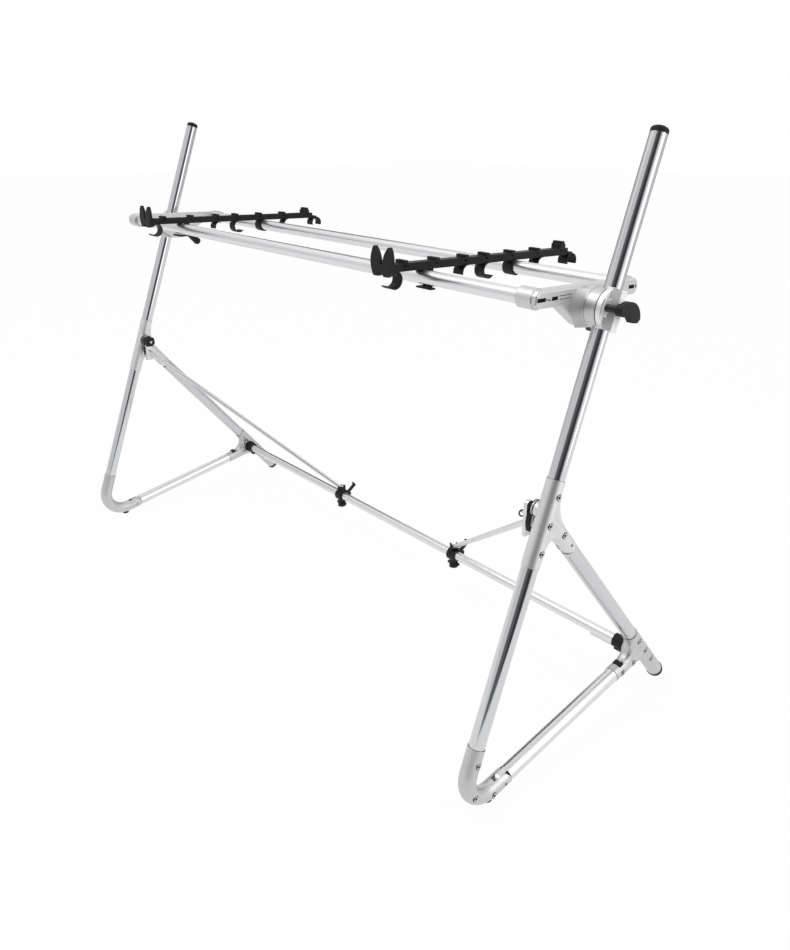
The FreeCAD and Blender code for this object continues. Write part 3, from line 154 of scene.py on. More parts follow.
def linear(code: str) -> tuple[float, float, float, float]:
    """Turn an sRGB hex colour into the linear colour that shaders take.

    Args:
        code: Colour such as "#d8d9db".

    Returns:
        Linear red, green and blue, and an alpha of 1.
    """
    parts = [int(code[i : i + 2], 16) / 255 for i in (1, 3, 5)]
    red, green, blue = [c / 12.92 if c <= 0.04045 else ((c + 0.055) / 1.055) ** 2.4 for c in parts]
    return red, green, blue, 1.0


def shade(code: str, factor: float) -> str:
    """Make a hex colour lighter or darker by a factor, within its range."""
    parts = [min(255, round(int(code[i : i + 2], 16) * factor)) for i in (1, 3, 5)]
    return "#%02x%02x%02x" % tuple(parts)


def add_node(
    tree: NodeTree, kind: str, inputs: dict[str | int, object] | None = None, **settings: object
) -> Node:
    """Add one node with its settings, and fill or link its inputs.

    Args:
        tree: Node tree that gets the node.
        kind: Blender's type name of the node.
        inputs: Input name or number mapped to a value or to an output socket.
        settings: Properties of the node itself.

    Returns:
        The new node.
    """
    node = tree.nodes.new(kind)
    for key, value in settings.items():
        setattr(node, key, value)
    for key, value in (inputs or {}).items():
        if isinstance(value, NodeSocket):
            tree.links.new(value, node.inputs[key])
        else:
            node.inputs[key].default_value = value
    return node


def map_range(
    tree: NodeTree, value: NodeSocket, span: Sequence[float], onto: Sequence[float] = (0.0, 1.0)
) -> NodeSocket:
    """Spread a value from one range onto another.

    Args:
        tree: Node tree that gets the node.
        value: Output socket of the value.
        span: First and last value of the range that it comes in.
        onto: What these two become; values beyond them are cut off.

    Returns:
        Output socket of the result.
    """
    limits = dict(zip(("From Min", "From Max", "To Min", "To Max"), (*span, *onto)))
    return add_node(tree, "ShaderNodeMapRange", {"Value": value, **limits}).outputs[0]


def blank_material(name: str) -> Material:
    """Start a material whose node tree is empty.

    Args:
        name: Name of the material.

    Returns:
        The new material.
    """
    made = bpy.data.materials.new(name)
    made.use_nodes = True
    made.node_tree.nodes.clear()
    return made


@dataclass(frozen=True)
class Finish:
    """One surface finish; a subclass says how it was made and draws its nodes."""

    name: str
    slot: str
    colour: str

    def material(self) -> Material:
        """Make the finish's material on its first use.

        Returns:
            The material, which later calls give again.
        """
        found = bpy.data.materials.get(self.name)
        if found is not None:
            return found
        made = blank_material(self.name)
        shader = self.draw(made.node_tree)
        add_node(made.node_tree, "ShaderNodeOutputMaterial", {"Surface": shader.outputs[0]})
        return made

    def draw(self, tree: NodeTree) -> Node:
        """Draw the finish's nodes.

        Args:
            tree: Node tree of the material.

        Returns:
            The shader node.
        """
        raise NotImplementedError


@dataclass(frozen=True)
class BareMetal(Finish):
    """Bare metal whose tint, gloss and relief follow fine patterns."""

    roughness: float = 0.2
    relief_mm: float = 0.002
    relief_share: float = 0.6
    tints: tuple[float, float] = (0.95, 1.03)
    gloss_spread: float = 0.2

    def metal(
        self, tree: NodeTree, tone: NodeSocket, grain: NodeSocket, edges: dict[str, NodeSocket]
    ) -> Node:
        """Draw the metal's shader.

        Args:
            tree: Node tree of the material.
            tone: Pattern that tints the metal.
            grain: Pattern of its gloss and relief.
            edges: Normal that the relief starts from, where there is one.

        Returns:
            The shader node.
        """
        add = partial(add_node, tree)
        dark, light = (linear(shade(self.colour, share)) for share in self.tints)
        tint = add("ShaderNodeMix", {0: tone, 6: dark, 7: light}, data_type="RGBA")
        ends = [self.roughness * (1 + part) for part in (-self.gloss_spread, self.gloss_spread)]
        gloss = map_range(tree, grain, NOISE_RANGE, ends)
        depth = self.relief_mm * MM
        relief = add(
            "ShaderNodeBump",
            {"Strength": self.relief_share, "Distance": depth, "Height": grain, **edges},
        )
        return add(
            "ShaderNodeBsdfPrincipled",
            {
                "Base Color": tint.outputs[2],
                "Metallic": 1.0,
                "Roughness": gloss,
                "Normal": relief.outputs[0],
            },
        )


@dataclass(frozen=True)
class DrawnAluminium(BareMetal):
    """Extruded aluminium tube. Drawing and polishing leave hairlines along the tube."""

    line_mm: float = 0.9
    run_mm: float = 260.0
    detail: float = 3.0
    breakup: float = 0.6
    turn_deg: float = 0.0
    along_x: bool = False

    def draw(self, tree: NodeTree) -> Node:
        """Draw hairlines that run along the tube, in brightness, gloss and relief."""
        add = partial(add_node, tree)
        line, run = self.line_mm * MM, self.run_mm * MM
        place = add("ShaderNodeTexCoord")
        # hairlines are finer than this; they are drawn coarser so that they show in the render
        axes = add(
            "ShaderNodeMapping",
            {
                "Vector": place.outputs["Object"],
                "Rotation": (math.radians(self.turn_deg), 0.0, 0.0),
                "Scale": (run, line, line) if self.along_x else (line, line, run),
            },
            vector_type="TEXTURE",
        )
        hair = add(
            "ShaderNodeTexNoise",
            {
                "Vector": axes.outputs[0],
                "Scale": 1.0,
                "Detail": self.detail,
                "Roughness": self.breakup,
            },
        )
        return self.metal(tree, hair.outputs[0], hair.outputs[0], {})


@dataclass(frozen=True)
class BlastedCasting(BareMetal):
    """Bead-blasted metal, mostly die-cast aluminium: an even silky grey with a fine pitted grain."""

    roughness: float = 0.42
    relief_mm: float = 0.02
    relief_share: float = 0.35
    tints: tuple[float, float] = (0.96, 1.03)
    gloss_spread: float = 0.1
    grit_mm: float = 0.9
    cloud_mm: float = 38.0
    detail: float = 2.0
    edge_mm: float = 0.9

    def draw(self, tree: NodeTree) -> Node:
        """Draw a grain of grit over broad, faint clouds, with rounded edges."""
        add = partial(add_node, tree)
        place = add("ShaderNodeTexCoord").outputs["Object"]
        # blasting grit is about 0.2 mm; it is drawn coarser so that it shows in the render
        grit, cloud = (
            add("ShaderNodeTexNoise", {"Vector": place, "Scale": 1 / (size * MM), "Detail": self.detail})
            for size in (self.grit_mm, self.cloud_mm)
        )
        rounded = add("ShaderNodeBevel", {"Radius": self.edge_mm * MM}, samples=EDGE_SAMPLES)
        return self.metal(tree, cloud.outputs[0], grit.outputs[0], {"Normal": rounded.outputs[0]})


@dataclass(frozen=True)
class MouldedPlastic(Finish):
    """Black glass-filled nylon or rubber: a fine spark-eroded grain, paler where it is rubbed, with paler
    corners that are partly a painted highlight.
    """

    roughness: float = 0.5
    grain_mm: float = 1.1
    patch_mm: float = 24.0
    patch_detail: float = 4.0
    relief_mm: float = 0.05
    relief_share: float = 0.4
    rub: float = 1.45
    rub_range: tuple[float, float] = (0.42, 0.68)
    gloss_range: tuple[float, float] = (0.35, 0.65)
    gloss_spread: float = 0.12
    edge_mm: float = 0.7
    edge_wear: float = 2.6
    edge_bend: tuple[float, float] = (0.97, 0.75)
    edge_share: float = 0.8
    ior: float = 1.5
    gloss_level: float = 0.22

    def draw(self, tree: NodeTree) -> Node:
        """Draw the mould's grain, paler rubbed patches and paler corners, worn and with a painted
        highlight.
        """
        add = partial(add_node, tree)
        place = add("ShaderNodeTexCoord").outputs["Object"]
        # the real grain is about 0.3 mm; it is drawn coarser so that it shows in the render
        grain = add("ShaderNodeTexVoronoi", {"Vector": place, "Scale": 1 / (self.grain_mm * MM)})
        patch = add(
            "ShaderNodeTexNoise",
            {"Vector": place, "Scale": 1 / (self.patch_mm * MM), "Detail": self.patch_detail},
        )
        spread = map_range(tree, patch.outputs[0], self.rub_range)
        rubbed = add(
            "ShaderNodeMix",
            {0: spread, 6: linear(self.colour), 7: linear(shade(self.colour, self.rub))},
            data_type="RGBA",
        )
        # corners turn a little grey: wear where hands and cases touch, and a painted highlight along
        # every edge
        soft = add("ShaderNodeBevel", {"Radius": self.edge_mm * MM}, samples=EDGE_SAMPLES)
        facing = add("ShaderNodeNewGeometry")
        bend = add(
            "ShaderNodeVectorMath",
            {0: soft.outputs[0], 1: facing.outputs["Normal"]},
            operation="DOT_PRODUCT",
        )
        worn_and_lit = map_range(tree, bend.outputs["Value"], self.edge_bend, (0.0, self.edge_share))
        tint = add(
            "ShaderNodeMix",
            {0: worn_and_lit, 6: rubbed.outputs[2], 7: linear(shade(self.colour, self.edge_wear))},
            data_type="RGBA",
        )
        ends = [self.roughness * (1 + part) for part in (-self.gloss_spread, self.gloss_spread)]
        gloss = map_range(tree, patch.outputs[0], self.gloss_range, ends)
        relief = add(
            "ShaderNodeBump",
            {
                "Strength": self.relief_share,
                "Distance": self.relief_mm * MM,
                "Height": grain.outputs["Distance"],
                "Normal": soft.outputs[0],
            },
        )
        return add(
            "ShaderNodeBsdfPrincipled",
            {
                "Base Color": tint.outputs[2],
                "Roughness": gloss,
                "IOR": self.ior,
                "Specular IOR Level": self.gloss_level,
                "Normal": relief.outputs[0],
            },
        )


# polished tube is nearly a mirror: the studio shows in it as light and dark bands
POLISHED_UPRIGHT = DrawnAluminium(
    "polished_drawn_aluminium", "polished_tube", "#d4d5d7", roughness=0.11, turn_deg=-LAYOUT.lean
)
# satin tube smears those bands into a soft sheen
SATIN_STRUT = DrawnAluminium(
    "satin_strut_aluminium", "satin_tube", "#d4d4d6", roughness=0.4, turn_deg=LAYOUT.strut_lean
)
SATIN_BASE = DrawnAluminium(
    "satin_base_aluminium", "satin_tube", "#dedee0", roughness=0.24, turn_deg=LAYOUT.base_rise - 90.0
)
SATIN_RAIL = DrawnAluminium(
    "satin_rail_aluminium", "satin_tube", "#e2e2e4", roughness=0.3, along_x=True
)
BRACE_ROD = BlastedCasting("satin_brace_aluminium", "satin_tube", "#dcdcde", roughness=0.35)
# blasted castings are an even silky grey; the bed and elbow copies are darker, painted shade on the parts
# that look darker
CASTING = BlastedCasting("blasted_cast_aluminium", "cast_satin", "#e0e0e0", roughness=0.48)
SHADED_BED_CASTING = BlastedCasting("blasted_bed_aluminium", "cast_satin", "#d3d3d3", roughness=0.48)
SHADED_ELBOW_CASTING = BlastedCasting("blasted_elbow_aluminium", "cast_satin", "#cbcbcb", roughness=0.46)
# a machined face is paler than the casting beside it and shows less grain
MACHINED = BlastedCasting(
    "machined_clamp_aluminium", "machined_bright", "#f2f2f3", roughness=0.55, relief_mm=0.006
)
# nylon is a dull black with greyer corners, rubber is duller still
BLACK_NYLON = MouldedPlastic("black_glass_filled_nylon", "black_plastic", "#151516")
BLACK_RUBBER = MouldedPlastic(
    "black_foot_rubber", "black_rubber", "#161616", roughness=0.75, grain_mm=0.8
)
# steel of studs and screws keeps a small bright glint
DARK_STEEL = BlastedCasting("blackened_stud_steel", "dark_steel", "#58585a", roughness=0.38)
SCREW_STEEL = BlastedCasting("zinc_screw_steel", "dark_steel", "#c9c9c9", roughness=0.28)
# painted shade in narrow gaps: grey where light reaches the bottom, black where it doesn't; the grey also
# paints a dark reflection along each strut
SHADE_AND_REFLECTION_GREY = BlastedCasting("drawn_seam_aluminium", "satin_tube", "#9a9a9d", roughness=0.55)
SHADOW_BLACK = MouldedPlastic("shadow_gap_black", "black_plastic", "#0a0a0a", roughness=0.85)


# which CAD nodes get which finish, by the nodes' names without their side
NODE_FINISHES: tuple[tuple[Finish, tuple[str, ...]], ...] = (
    (POLISHED_UPRIGHT, ("upper_upright", "lower_upright")),
    (SATIN_STRUT, ("rear_strut", "strut_knuckle")),
    (SATIN_BASE, ("base_tube", "base_knuckle")),
    (SATIN_RAIL, ("cross_tube", "front_bed_tube", "rear_bed_tube")),
    (BRACE_ROD, ("brace_rod", "saddle_latch")),
    (CASTING, ("leg_joint", "brace_hub")),
    (SHADED_BED_CASTING, ("bed_bracket",)),
    (SHADED_ELBOW_CASTING, ("elbow", "rear_node", "clamp_yoke")),
    (MACHINED, ("clamp_cap",)),
    (SCREW_STEEL, ("frame_screws", "fold_pins")),
    (BLACK_RUBBER, ("elbow_pad", "foot_cap")),
    (BLACK_NYLON, ("top_cap", "latch_button", "cross_saddle", "brace_lever", "brace_clip")),
    (BLACK_NYLON, ("clip_lever", "clamp_knob", "tilt_lever", "support_arm", "arm_lever")),
)


def dress_nodes(nodes: dict[str, Object]) -> None:
    """Give every CAD node its finish.

    Args:
        nodes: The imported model's objects by node name.
    """
    finishes = {word: finish for finish, words in NODE_FINISHES for word in words}
    for name, obj in sorted(nodes.items()):
        finish = finishes[name.removeprefix("right_").removeprefix("left_")]
        obj.data.materials.clear()
        obj.data.materials.append(finish.material())
        LOG.info("%s is finished in %s", name, finish.name)


def mesh_object(name: str, mesh: Mesh) -> Object:
    """Put a mesh into the scene as an object at the origin.

    Args:
        name: Name of the object.
        mesh: Its mesh.

    Returns:
        The new object.
    """
    made = bpy.data.objects.new(name, mesh)
    bpy.context.scene.collection.objects.link(made)
    return made


def finish_piece(piece: Object, finish: Finish, body: str) -> None:
    """Give a new piece its finish and the body that it rides on.

    Args:
        piece: The new piece.
        finish: Its surface finish.
        body: Name of the CAD body that carries it.
    """
    if not piece.data.materials:
        piece.data.materials.append(finish.material())
    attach(piece, body)
    LOG.info("%s rides on %s, %d faces", piece.name, body, len(piece.data.polygons))


@dataclass(frozen=True)
class DiscSizes:
    """Sizes of the discs of one piece in millimetres; a disc that isn't filled is an open ring."""

    radius: float
    rim: float
    lift: float = 0.0
    corners: int = 24
    filled: bool = True


@dataclass
class DiscTree:
    """Geometry Nodes tree that sets a rimmed disc on every point of a mesh, facing its aim."""

    name: str = "discs_on_points"
    rim_steps: int = 8
    plate_share: float = 0.8
    inputs: dict[str, str] = field(default_factory=dict)

    def build(self) -> NodeTree:
        """Draw the tree and note the identifiers of its inputs.

        Returns:
            The new tree.
        """
        tree = bpy.data.node_groups.new(self.name, "GeometryNodeTree")
        kinds = {"Geometry": "Geometry", "Radius": "Float", "Rim": "Float", "Lift": "Float"}
        kinds |= {"Corners": "Int", "Filled": "Bool", "Material": "Material"}
        for label, kind in kinds.items():
            item = tree.interface.new_socket(label, in_out="INPUT", socket_type="NodeSocket" + kind)
            self.inputs[label] = item.identifier
        tree.interface.new_socket("Geometry", in_out="OUTPUT", socket_type="NodeSocketGeometry")
        add = partial(add_node, tree)
        given = add("NodeGroupInput").outputs
        inner = add("ShaderNodeMath", {0: given["Radius"], 1: given["Rim"]}, operation="SUBTRACT")
        path = add(
            "GeometryNodeCurvePrimitiveCircle",
            {"Resolution": given["Corners"], "Radius": inner.outputs[0]},
        )
        bead = add(
            "GeometryNodeCurvePrimitiveCircle",
            {"Resolution": self.rim_steps, "Radius": given["Rim"]},
        )
        rim = add("GeometryNodeCurveToMesh", {"Curve": path.outputs[0], "Profile Curve": bead.outputs[0]})
        thick = add("ShaderNodeMath", {0: given["Rim"], 1: self.plate_share}, operation="MULTIPLY")
        plate = add(
            "GeometryNodeMeshCylinder",
            {"Vertices": given["Corners"], "Radius": inner.outputs[0], "Depth": thick.outputs[0]},
            fill_type="NGON",
        )
        middle = add(
            "GeometryNodeSwitch",
            {"Switch": given["Filled"], "True": plate.outputs["Mesh"]},
            input_type="GEOMETRY",
        )
        both = add("GeometryNodeJoinGeometry")
        for part in (middle, rim):
            tree.links.new(part.outputs[0], both.inputs[0])
        away = add("ShaderNodeCombineXYZ", {"Z": given["Lift"]})
        disc = add("GeometryNodeTransform", {"Geometry": both.outputs[0], "Translation": away.outputs[0]})
        aim = add("GeometryNodeInputNamedAttribute", {"Name": "aim"}, data_type="FLOAT_VECTOR")
        turn = add("FunctionNodeAlignRotationToVector", {"Vector": aim.outputs[0]}, axis="Z")
        discs = add(
            "GeometryNodeInstanceOnPoints",
            {"Points": given["Geometry"], "Instance": disc.outputs[0], "Rotation": turn.outputs[0]},
        )
        real = add("GeometryNodeRealizeInstances", {"Geometry": discs.outputs[0]})
        dressed = add(
            "GeometryNodeSetMaterial",
            {"Geometry": real.outputs[0], "Material": given["Material"]},
        )
        add("NodeGroupOutput", {0: dressed.outputs[0]})
        return tree

    def grow(
        self,
        name: str,
        spots: Sequence[tuple[Vector, Vector]],
        finish: Finish,
        body: str,
        sizes: DiscSizes,
    ) -> None:
        """Set the tree's discs on points, as one plain mesh that rides on a body.

        Args:
            name: Name of the new piece.
            spots: Place and facing direction of each disc, in metres.
            finish: Surface finish of the discs.
            body: Name of the CAD body that carries them.
            sizes: Sizes of the discs.
        """
        tree = bpy.data.node_groups.get(self.name) or self.build()
        points = bpy.data.meshes.new(name + "_points")
        points.from_pydata([tuple(spot) for spot, _ in spots], [], [])
        aims = points.attributes.new("aim", "FLOAT_VECTOR", "POINT")
        aims.data.foreach_set("vector", [c for _, aim in spots for c in aim])
        holder = mesh_object(name, points)
        modifier = holder.modifiers.new("discs", "NODES")
        modifier.node_group = tree
        values = {
            "Radius": sizes.radius * MM,
            "Rim": sizes.rim * MM,
            "Lift": sizes.lift * MM,
            "Corners": sizes.corners,
            "Filled": sizes.filled,
            "Material": finish.material(),
        }
        for label, value in values.items():
            modifier[self.inputs[label]] = value
        graph = bpy.context.evaluated_depsgraph_get()
        plain = bpy.data.meshes.new_from_object(holder.evaluated_get(graph))
        holder.modifiers.clear()
        holder.data = plain
        bpy.data.meshes.remove(points)
        plain.name = name
        finish_piece(holder, finish, body)


DISCS = DiscTree()


def solids_of(node: Object, merge_mm: float = 0.002) -> list[tuple[Vector, Vector]]:
    """Boxes of the separate solids in a CAD node.

    Args:
        node: Object of the CAD node.
        merge_mm: Distance within which corners of its loose triangles count as one.

    Returns:
        Lowest and highest corner of each solid in metres, sorted by the lowest.
    """
    made = bmesh.new()
    made.from_mesh(node.data)
    bmesh.ops.remove_doubles(made, verts=made.verts, dist=merge_mm * MM)
    left = set(made.verts)
    boxes = []
    while left:
        front = [left.pop()]
        found = list(front)
        while front:
            vert = front.pop()
            for edge in vert.link_edges:
                other = edge.other_vert(vert)
                if other in left:
                    left.remove(other)
                    found.append(other)
                    front.append(other)
        low = Vector([min(v.co[i] for v in found) for i in range(3)])
        high = Vector([max(v.co[i] for v in found) for i in range(3)])
        boxes.append((low, high))
    made.free()
    return sorted(boxes, key=lambda box: tuple(box[0]))


@dataclass
class ScrewSet:
    """Button-head screws of the castings: bright rimmed heads, painted shade in their hexagon sockets and
    a painted shadow round each seat.
    """

    heads: DiscSizes = DiscSizes(4.25, 0.85, lift=-0.35)
    sockets: DiscSizes = DiscSizes(2.3, 0.05, lift=0.12, corners=6)
    seats: DiscSizes = DiscSizes(5.3, 0.55, lift=-0.7)

    def build(self, nodes: dict[str, Object]) -> None:
        """Put a detailed head on each screw of the CAD node.

        Args:
            nodes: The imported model's objects by node name.
        """
        spots = []
        for low, high in solids_of(nodes["frame_screws"]):
            outward = 1.0 if low.x > 0 else -1.0
            outer = high.x if outward > 0 else low.x
            middle = (low + high) / 2
            spots.append((Vector((outer, middle.y, middle.z)), Vector((outward, 0.0, 0.0))))
        body = Body.FRAME.value
        DISCS.grow("screw_heads", spots, SCREW_STEEL, body, self.heads)
        DISCS.grow("screw_sockets", spots, SHADOW_BLACK, body, self.sockets)
        DISCS.grow("screw_seats", spots, SHADOW_BLACK, body, self.seats)


def block_mesh(size: Sequence[float], frame: Matrix, round_mm: float) -> BMesh:
    """A block with rounded edges about the middle of a frame.

    Args:
        size: Length, width and height in millimetres.
        frame: Matrix from the block's millimetres to the stand's.
        round_mm: Rounding of the edges.

    Returns:
        The block in metres, in the stand's axes.
    """
    made = bmesh.new()
    bmesh.ops.create_cube(made, size=1.0)
    bmesh.ops.scale(made, vec=Vector(size), verts=made.verts)
    bmesh.ops.bevel(
        made,
        geom=list(made.edges),
        offset=round_mm,
        segments=2,
        affect="EDGES",
        profile=0.5,
        clamp_overlap=True,
    )
    made.transform(Matrix.Scale(MM, 4) @ frame)
    return made


def ring_mesh(
    radius: float, rim: float, frame: Matrix, corners: int, span: tuple[float, float] = (0.0, 360.0)
) -> BMesh:
    """A round ring about the X axis of a frame, or an arc of one.

    Args:
        radius: Radius of the ring's middle line in millimetres.
        rim: Radius of its section in millimetres.
        frame: Matrix from the ring's millimetres to the stand's.
        corners: Steps round the ring.
        span: First and last angle from the Y axis in degrees; a whole turn closes the ring.

    Returns:
        The ring in metres, in the stand's axes.
    """
    made = bmesh.new()
    first, last = (math.radians(a) for a in span)
    closed = span[1] - span[0] >= 360.0
    rows = []
    for corner in range(corners + (0 if closed else 1)):
        turn = Matrix.Rotation(first + (last - first) * corner / corners, 4, "X")
        row = []
        for step in range(RING_STEPS):
            angle = 2 * math.pi * step / RING_STEPS
            place = turn @ Vector((rim * math.sin(angle), radius + rim * math.cos(angle), 0.0))
            row.append(made.verts.new(place))
        rows.append(row)
    join_rows(made, rows, closed)
    made.transform(Matrix.Scale(MM, 4) @ frame)
    return made


def join_rows(made: BMesh, rows: list[list[BMVert]], closed: bool) -> None:
    """Skin rows of corners with faces that look outwards.

    Args:
        made: Mesh that holds the corners.
        rows: Rows with the same number of corners, each one a closed loop.
        closed: Whether the last row joins the first; otherwise both ends get a cap.
    """
    pairs = list(zip(rows, rows[1:]))
    if closed:
        pairs.append((rows[-1], rows[0]))
    else:
        made.faces.new(rows[0])
        made.faces.new(list(reversed(rows[-1])))
    for here, after in pairs:
        for step in range(len(here)):
            ahead = (step + 1) % len(here)
            made.faces.new((here[step], here[ahead], after[ahead], after[step]))
    bmesh.ops.recalc_face_normals(made, faces=made.faces)


@dataclass
class SideTrim:
    """Trim of one side of the stand; a subclass draws it for the right side."""

    side: Side

    def spot(self, frame: Matrix, place: Sequence[float]) -> Vector:
        """Place on this side of the stand.

        Args:
            frame: Frame of the right side.
            place: Place in the frame's millimetres.

        Returns:
            The place in metres, mirrored for the left side.
        """
        found = frame @ Vector(place) * MM
        found.x *= self.side.value
        return found

    def add(self, word: str, parts: Iterable[BMesh], finish: Finish, body: str, smooth: bool) -> None:
        """Join parts drawn for the right side into one piece, mirrored for the left side.

        Args:
            word: Name of the piece without its side.
            parts: Its parts, which are freed.
            finish: Its surface finish.
            body: Name of the CAD body that carries it.
            smooth: Whether its faces are shaded smooth.
        """
        joined = bmesh.new()
        for part in parts:
            spare = bpy.data.meshes.new("spare")
            part.to_mesh(spare)
            part.free()
            joined.from_mesh(spare)
            bpy.data.meshes.remove(spare)
        if self.side is Side.LEFT:
            bmesh.ops.scale(joined, vec=Vector((-1.0, 1.0, 1.0)), verts=joined.verts)
            bmesh.ops.recalc_face_normals(joined, faces=joined.faces)
        for face in joined.faces:
            face.smooth = smooth
        name = f"{self.side.word}_{word}"
        mesh = bpy.data.meshes.new(name)
        joined.to_mesh(mesh)
        joined.free()
        finish_piece(mesh_object(name, mesh), finish, body)


@dataclass
class JointLines(SideTrim):
    """Dark shadow lines where the bright tubes of one side meet the castings."""

    tube_mm: float = 12.7
    line_mm: float = 0.5
    corners: int = 64
    upright_seams: tuple[float, ...] = (121.0, 403.0, 534.0)
    strut_seams: tuple[float, ...] = (-412.0,)

    def build(self) -> None:
        """Lay a thin dark ring into each joint."""
        spots = []
        for frame, seams in ((LAYOUT.upright, self.upright_seams), (LAYOUT.strut, self.strut_seams)):
            axis = (frame.to_3x3() @ Vector((0.0, 0.0, 1.0))).normalized()
            for along in seams:
                spots.append((self.spot(frame, (0.0, 0.0, along)), axis))
        name = self.side.word + "_joint_lines"
        radius = self.tube_mm + self.line_mm
        sizes = DiscSizes(radius, self.line_mm, corners=self.corners, filled=False)
        DISCS.grow(name, spots, SHADOW_BLACK, Body.FRAME.value, sizes)


@dataclass(frozen=True)
class Inlay:
    """One dark piece in the outboard face of a wing, in millimetres along the bed's axes; in a slot or
    groove it is painted shade.

    It drops towards the rear by its drop, and a negative sunk stands proud of the face.
    """

    start: float
    length: float
    high: float
    off: float = 0.0
    drop: float = 0.0
    deep: float = 3.4
    sunk: float = 0.5
    round_mm: float = 0.25


@dataclass
class WingInlays(SideTrim):
    """Black pieces of painted shade in the clamp slots and grooves of one bed bracket, and two marks
    beside them.
    """

    face_x: float = 618.0
    up_mm: float = 18.0
    inlays: tuple[Inlay, ...] = (
        Inlay(-116.3, 17.6, 5.1),
        Inlay(-85.8, 12.6, 5.1),
        Inlay(94.2, 13.6, 5.1),
        Inlay(-68.9, 25.8, 0.9, off=2.4, deep=0.6, sunk=0.1),
        Inlay(-68.9, 25.8, 0.9, off=-2.4, deep=0.6, sunk=0.1),
        Inlay(110.6, 3.2, 4.6, deep=0.5, sunk=-0.05, round_mm=0.2),
        Inlay(-97.6, 9.4, 1.7, off=-0.8, drop=2.2, deep=0.5, sunk=-0.05, round_mm=0.2),
    )

    def build(self) -> None:
        """Seat the dark pieces, painted shade in the slots and grooves, in the bracket's outboard face.
        """
        parts = [self.insert(inlay) for inlay in self.inlays]
        self.add("slot_inserts", parts, SHADOW_BLACK, Body.BED.value, smooth=False)

    def insert(self, inlay: Inlay) -> BMesh:
        """One dark piece as a rounded block.

        Args:
            inlay: Its sizes and place.

        Returns:
            The block in metres.
        """
        middle = (
            self.face_x - inlay.sunk - inlay.deep / 2,
            inlay.start + inlay.length / 2,
            self.up_mm + inlay.off,
        )
        slope = math.atan2(inlay.drop, inlay.length)
        frame = LAYOUT.bed @ Matrix.Translation(middle) @ Matrix.Rotation(-slope, 4, "X")
        size = (inlay.deep, math.hypot(inlay.drop, inlay.length), inlay.high)
        return block_mesh(size, frame, inlay.round_mm)


@dataclass
class ClampKnob(SideTrim):
    """Screw thread on the stud of one clamp knob."""

    stud_mm: float = 5.0
    thread_mm: float = 0.45
    pitch_mm: float = 1.5
    corners: int = 32
    first_x: float = 13.0
    last_x: float = 31.0
    off_y: float = -19.0

    def build(self) -> None:
        """Wind the thread as close rings between the cap and the knob's hub."""
        spots = []
        outward = Vector((float(self.side.value), 0.0, 0.0))
        for number in range(int((self.last_x - self.first_x) / self.pitch_mm)):
            place = (self.first_x + number * self.pitch_mm, self.off_y, 0.0)
            spots.append((self.spot(LAYOUT.clamp, place), outward))
        name = self.side.word + "_stud_thread"
        radius = self.stud_mm + self.thread_mm
        sizes = DiscSizes(radius, self.thread_mm, corners=self.corners, filled=False)
        DISCS.grow(name, spots, DARK_STEEL, self.side.word + "_knob", sizes)


@dataclass
class ClampLines(SideTrim):
    """Painted shade in the joints of one clamp: black between yoke and cap, grey between its boss and
    yoke.
    """

    split_x: float = 0.6
    split_mm: float = 28.3
    split_rim: float = 1.0
    split_corners: int = 32
    open_deg: float = 60.0
    turn_x: float = -17.7
    turn_mm: float = 28.5
    turn_rim: float = 0.75
    turn_corners: int = 72

    def build(self) -> None:
        """Lay the lines; the dark one stops on both sides of the upright."""
        split = LAYOUT.clamp @ Matrix.Translation((self.split_x, 0.0, 0.0))
        arcs = []
        for middle in (0.0, 180.0):
            span = (middle - self.open_deg, middle + self.open_deg)
            arcs.append(ring_mesh(self.split_mm, self.split_rim, split, self.split_corners, span))
        self.add("clamp_split", arcs, SHADOW_BLACK, Body.CARRIAGE.value, smooth=True)
        turn = LAYOUT.clamp @ Matrix.Translation((self.turn_x, 0.0, 0.0))
        ring = ring_mesh(self.turn_mm, self.turn_rim, turn, self.turn_corners)
        self.add("boss_joint", [ring], SHADE_AND_REFLECTION_GREY, Body.CARRIAGE.value, smooth=True)


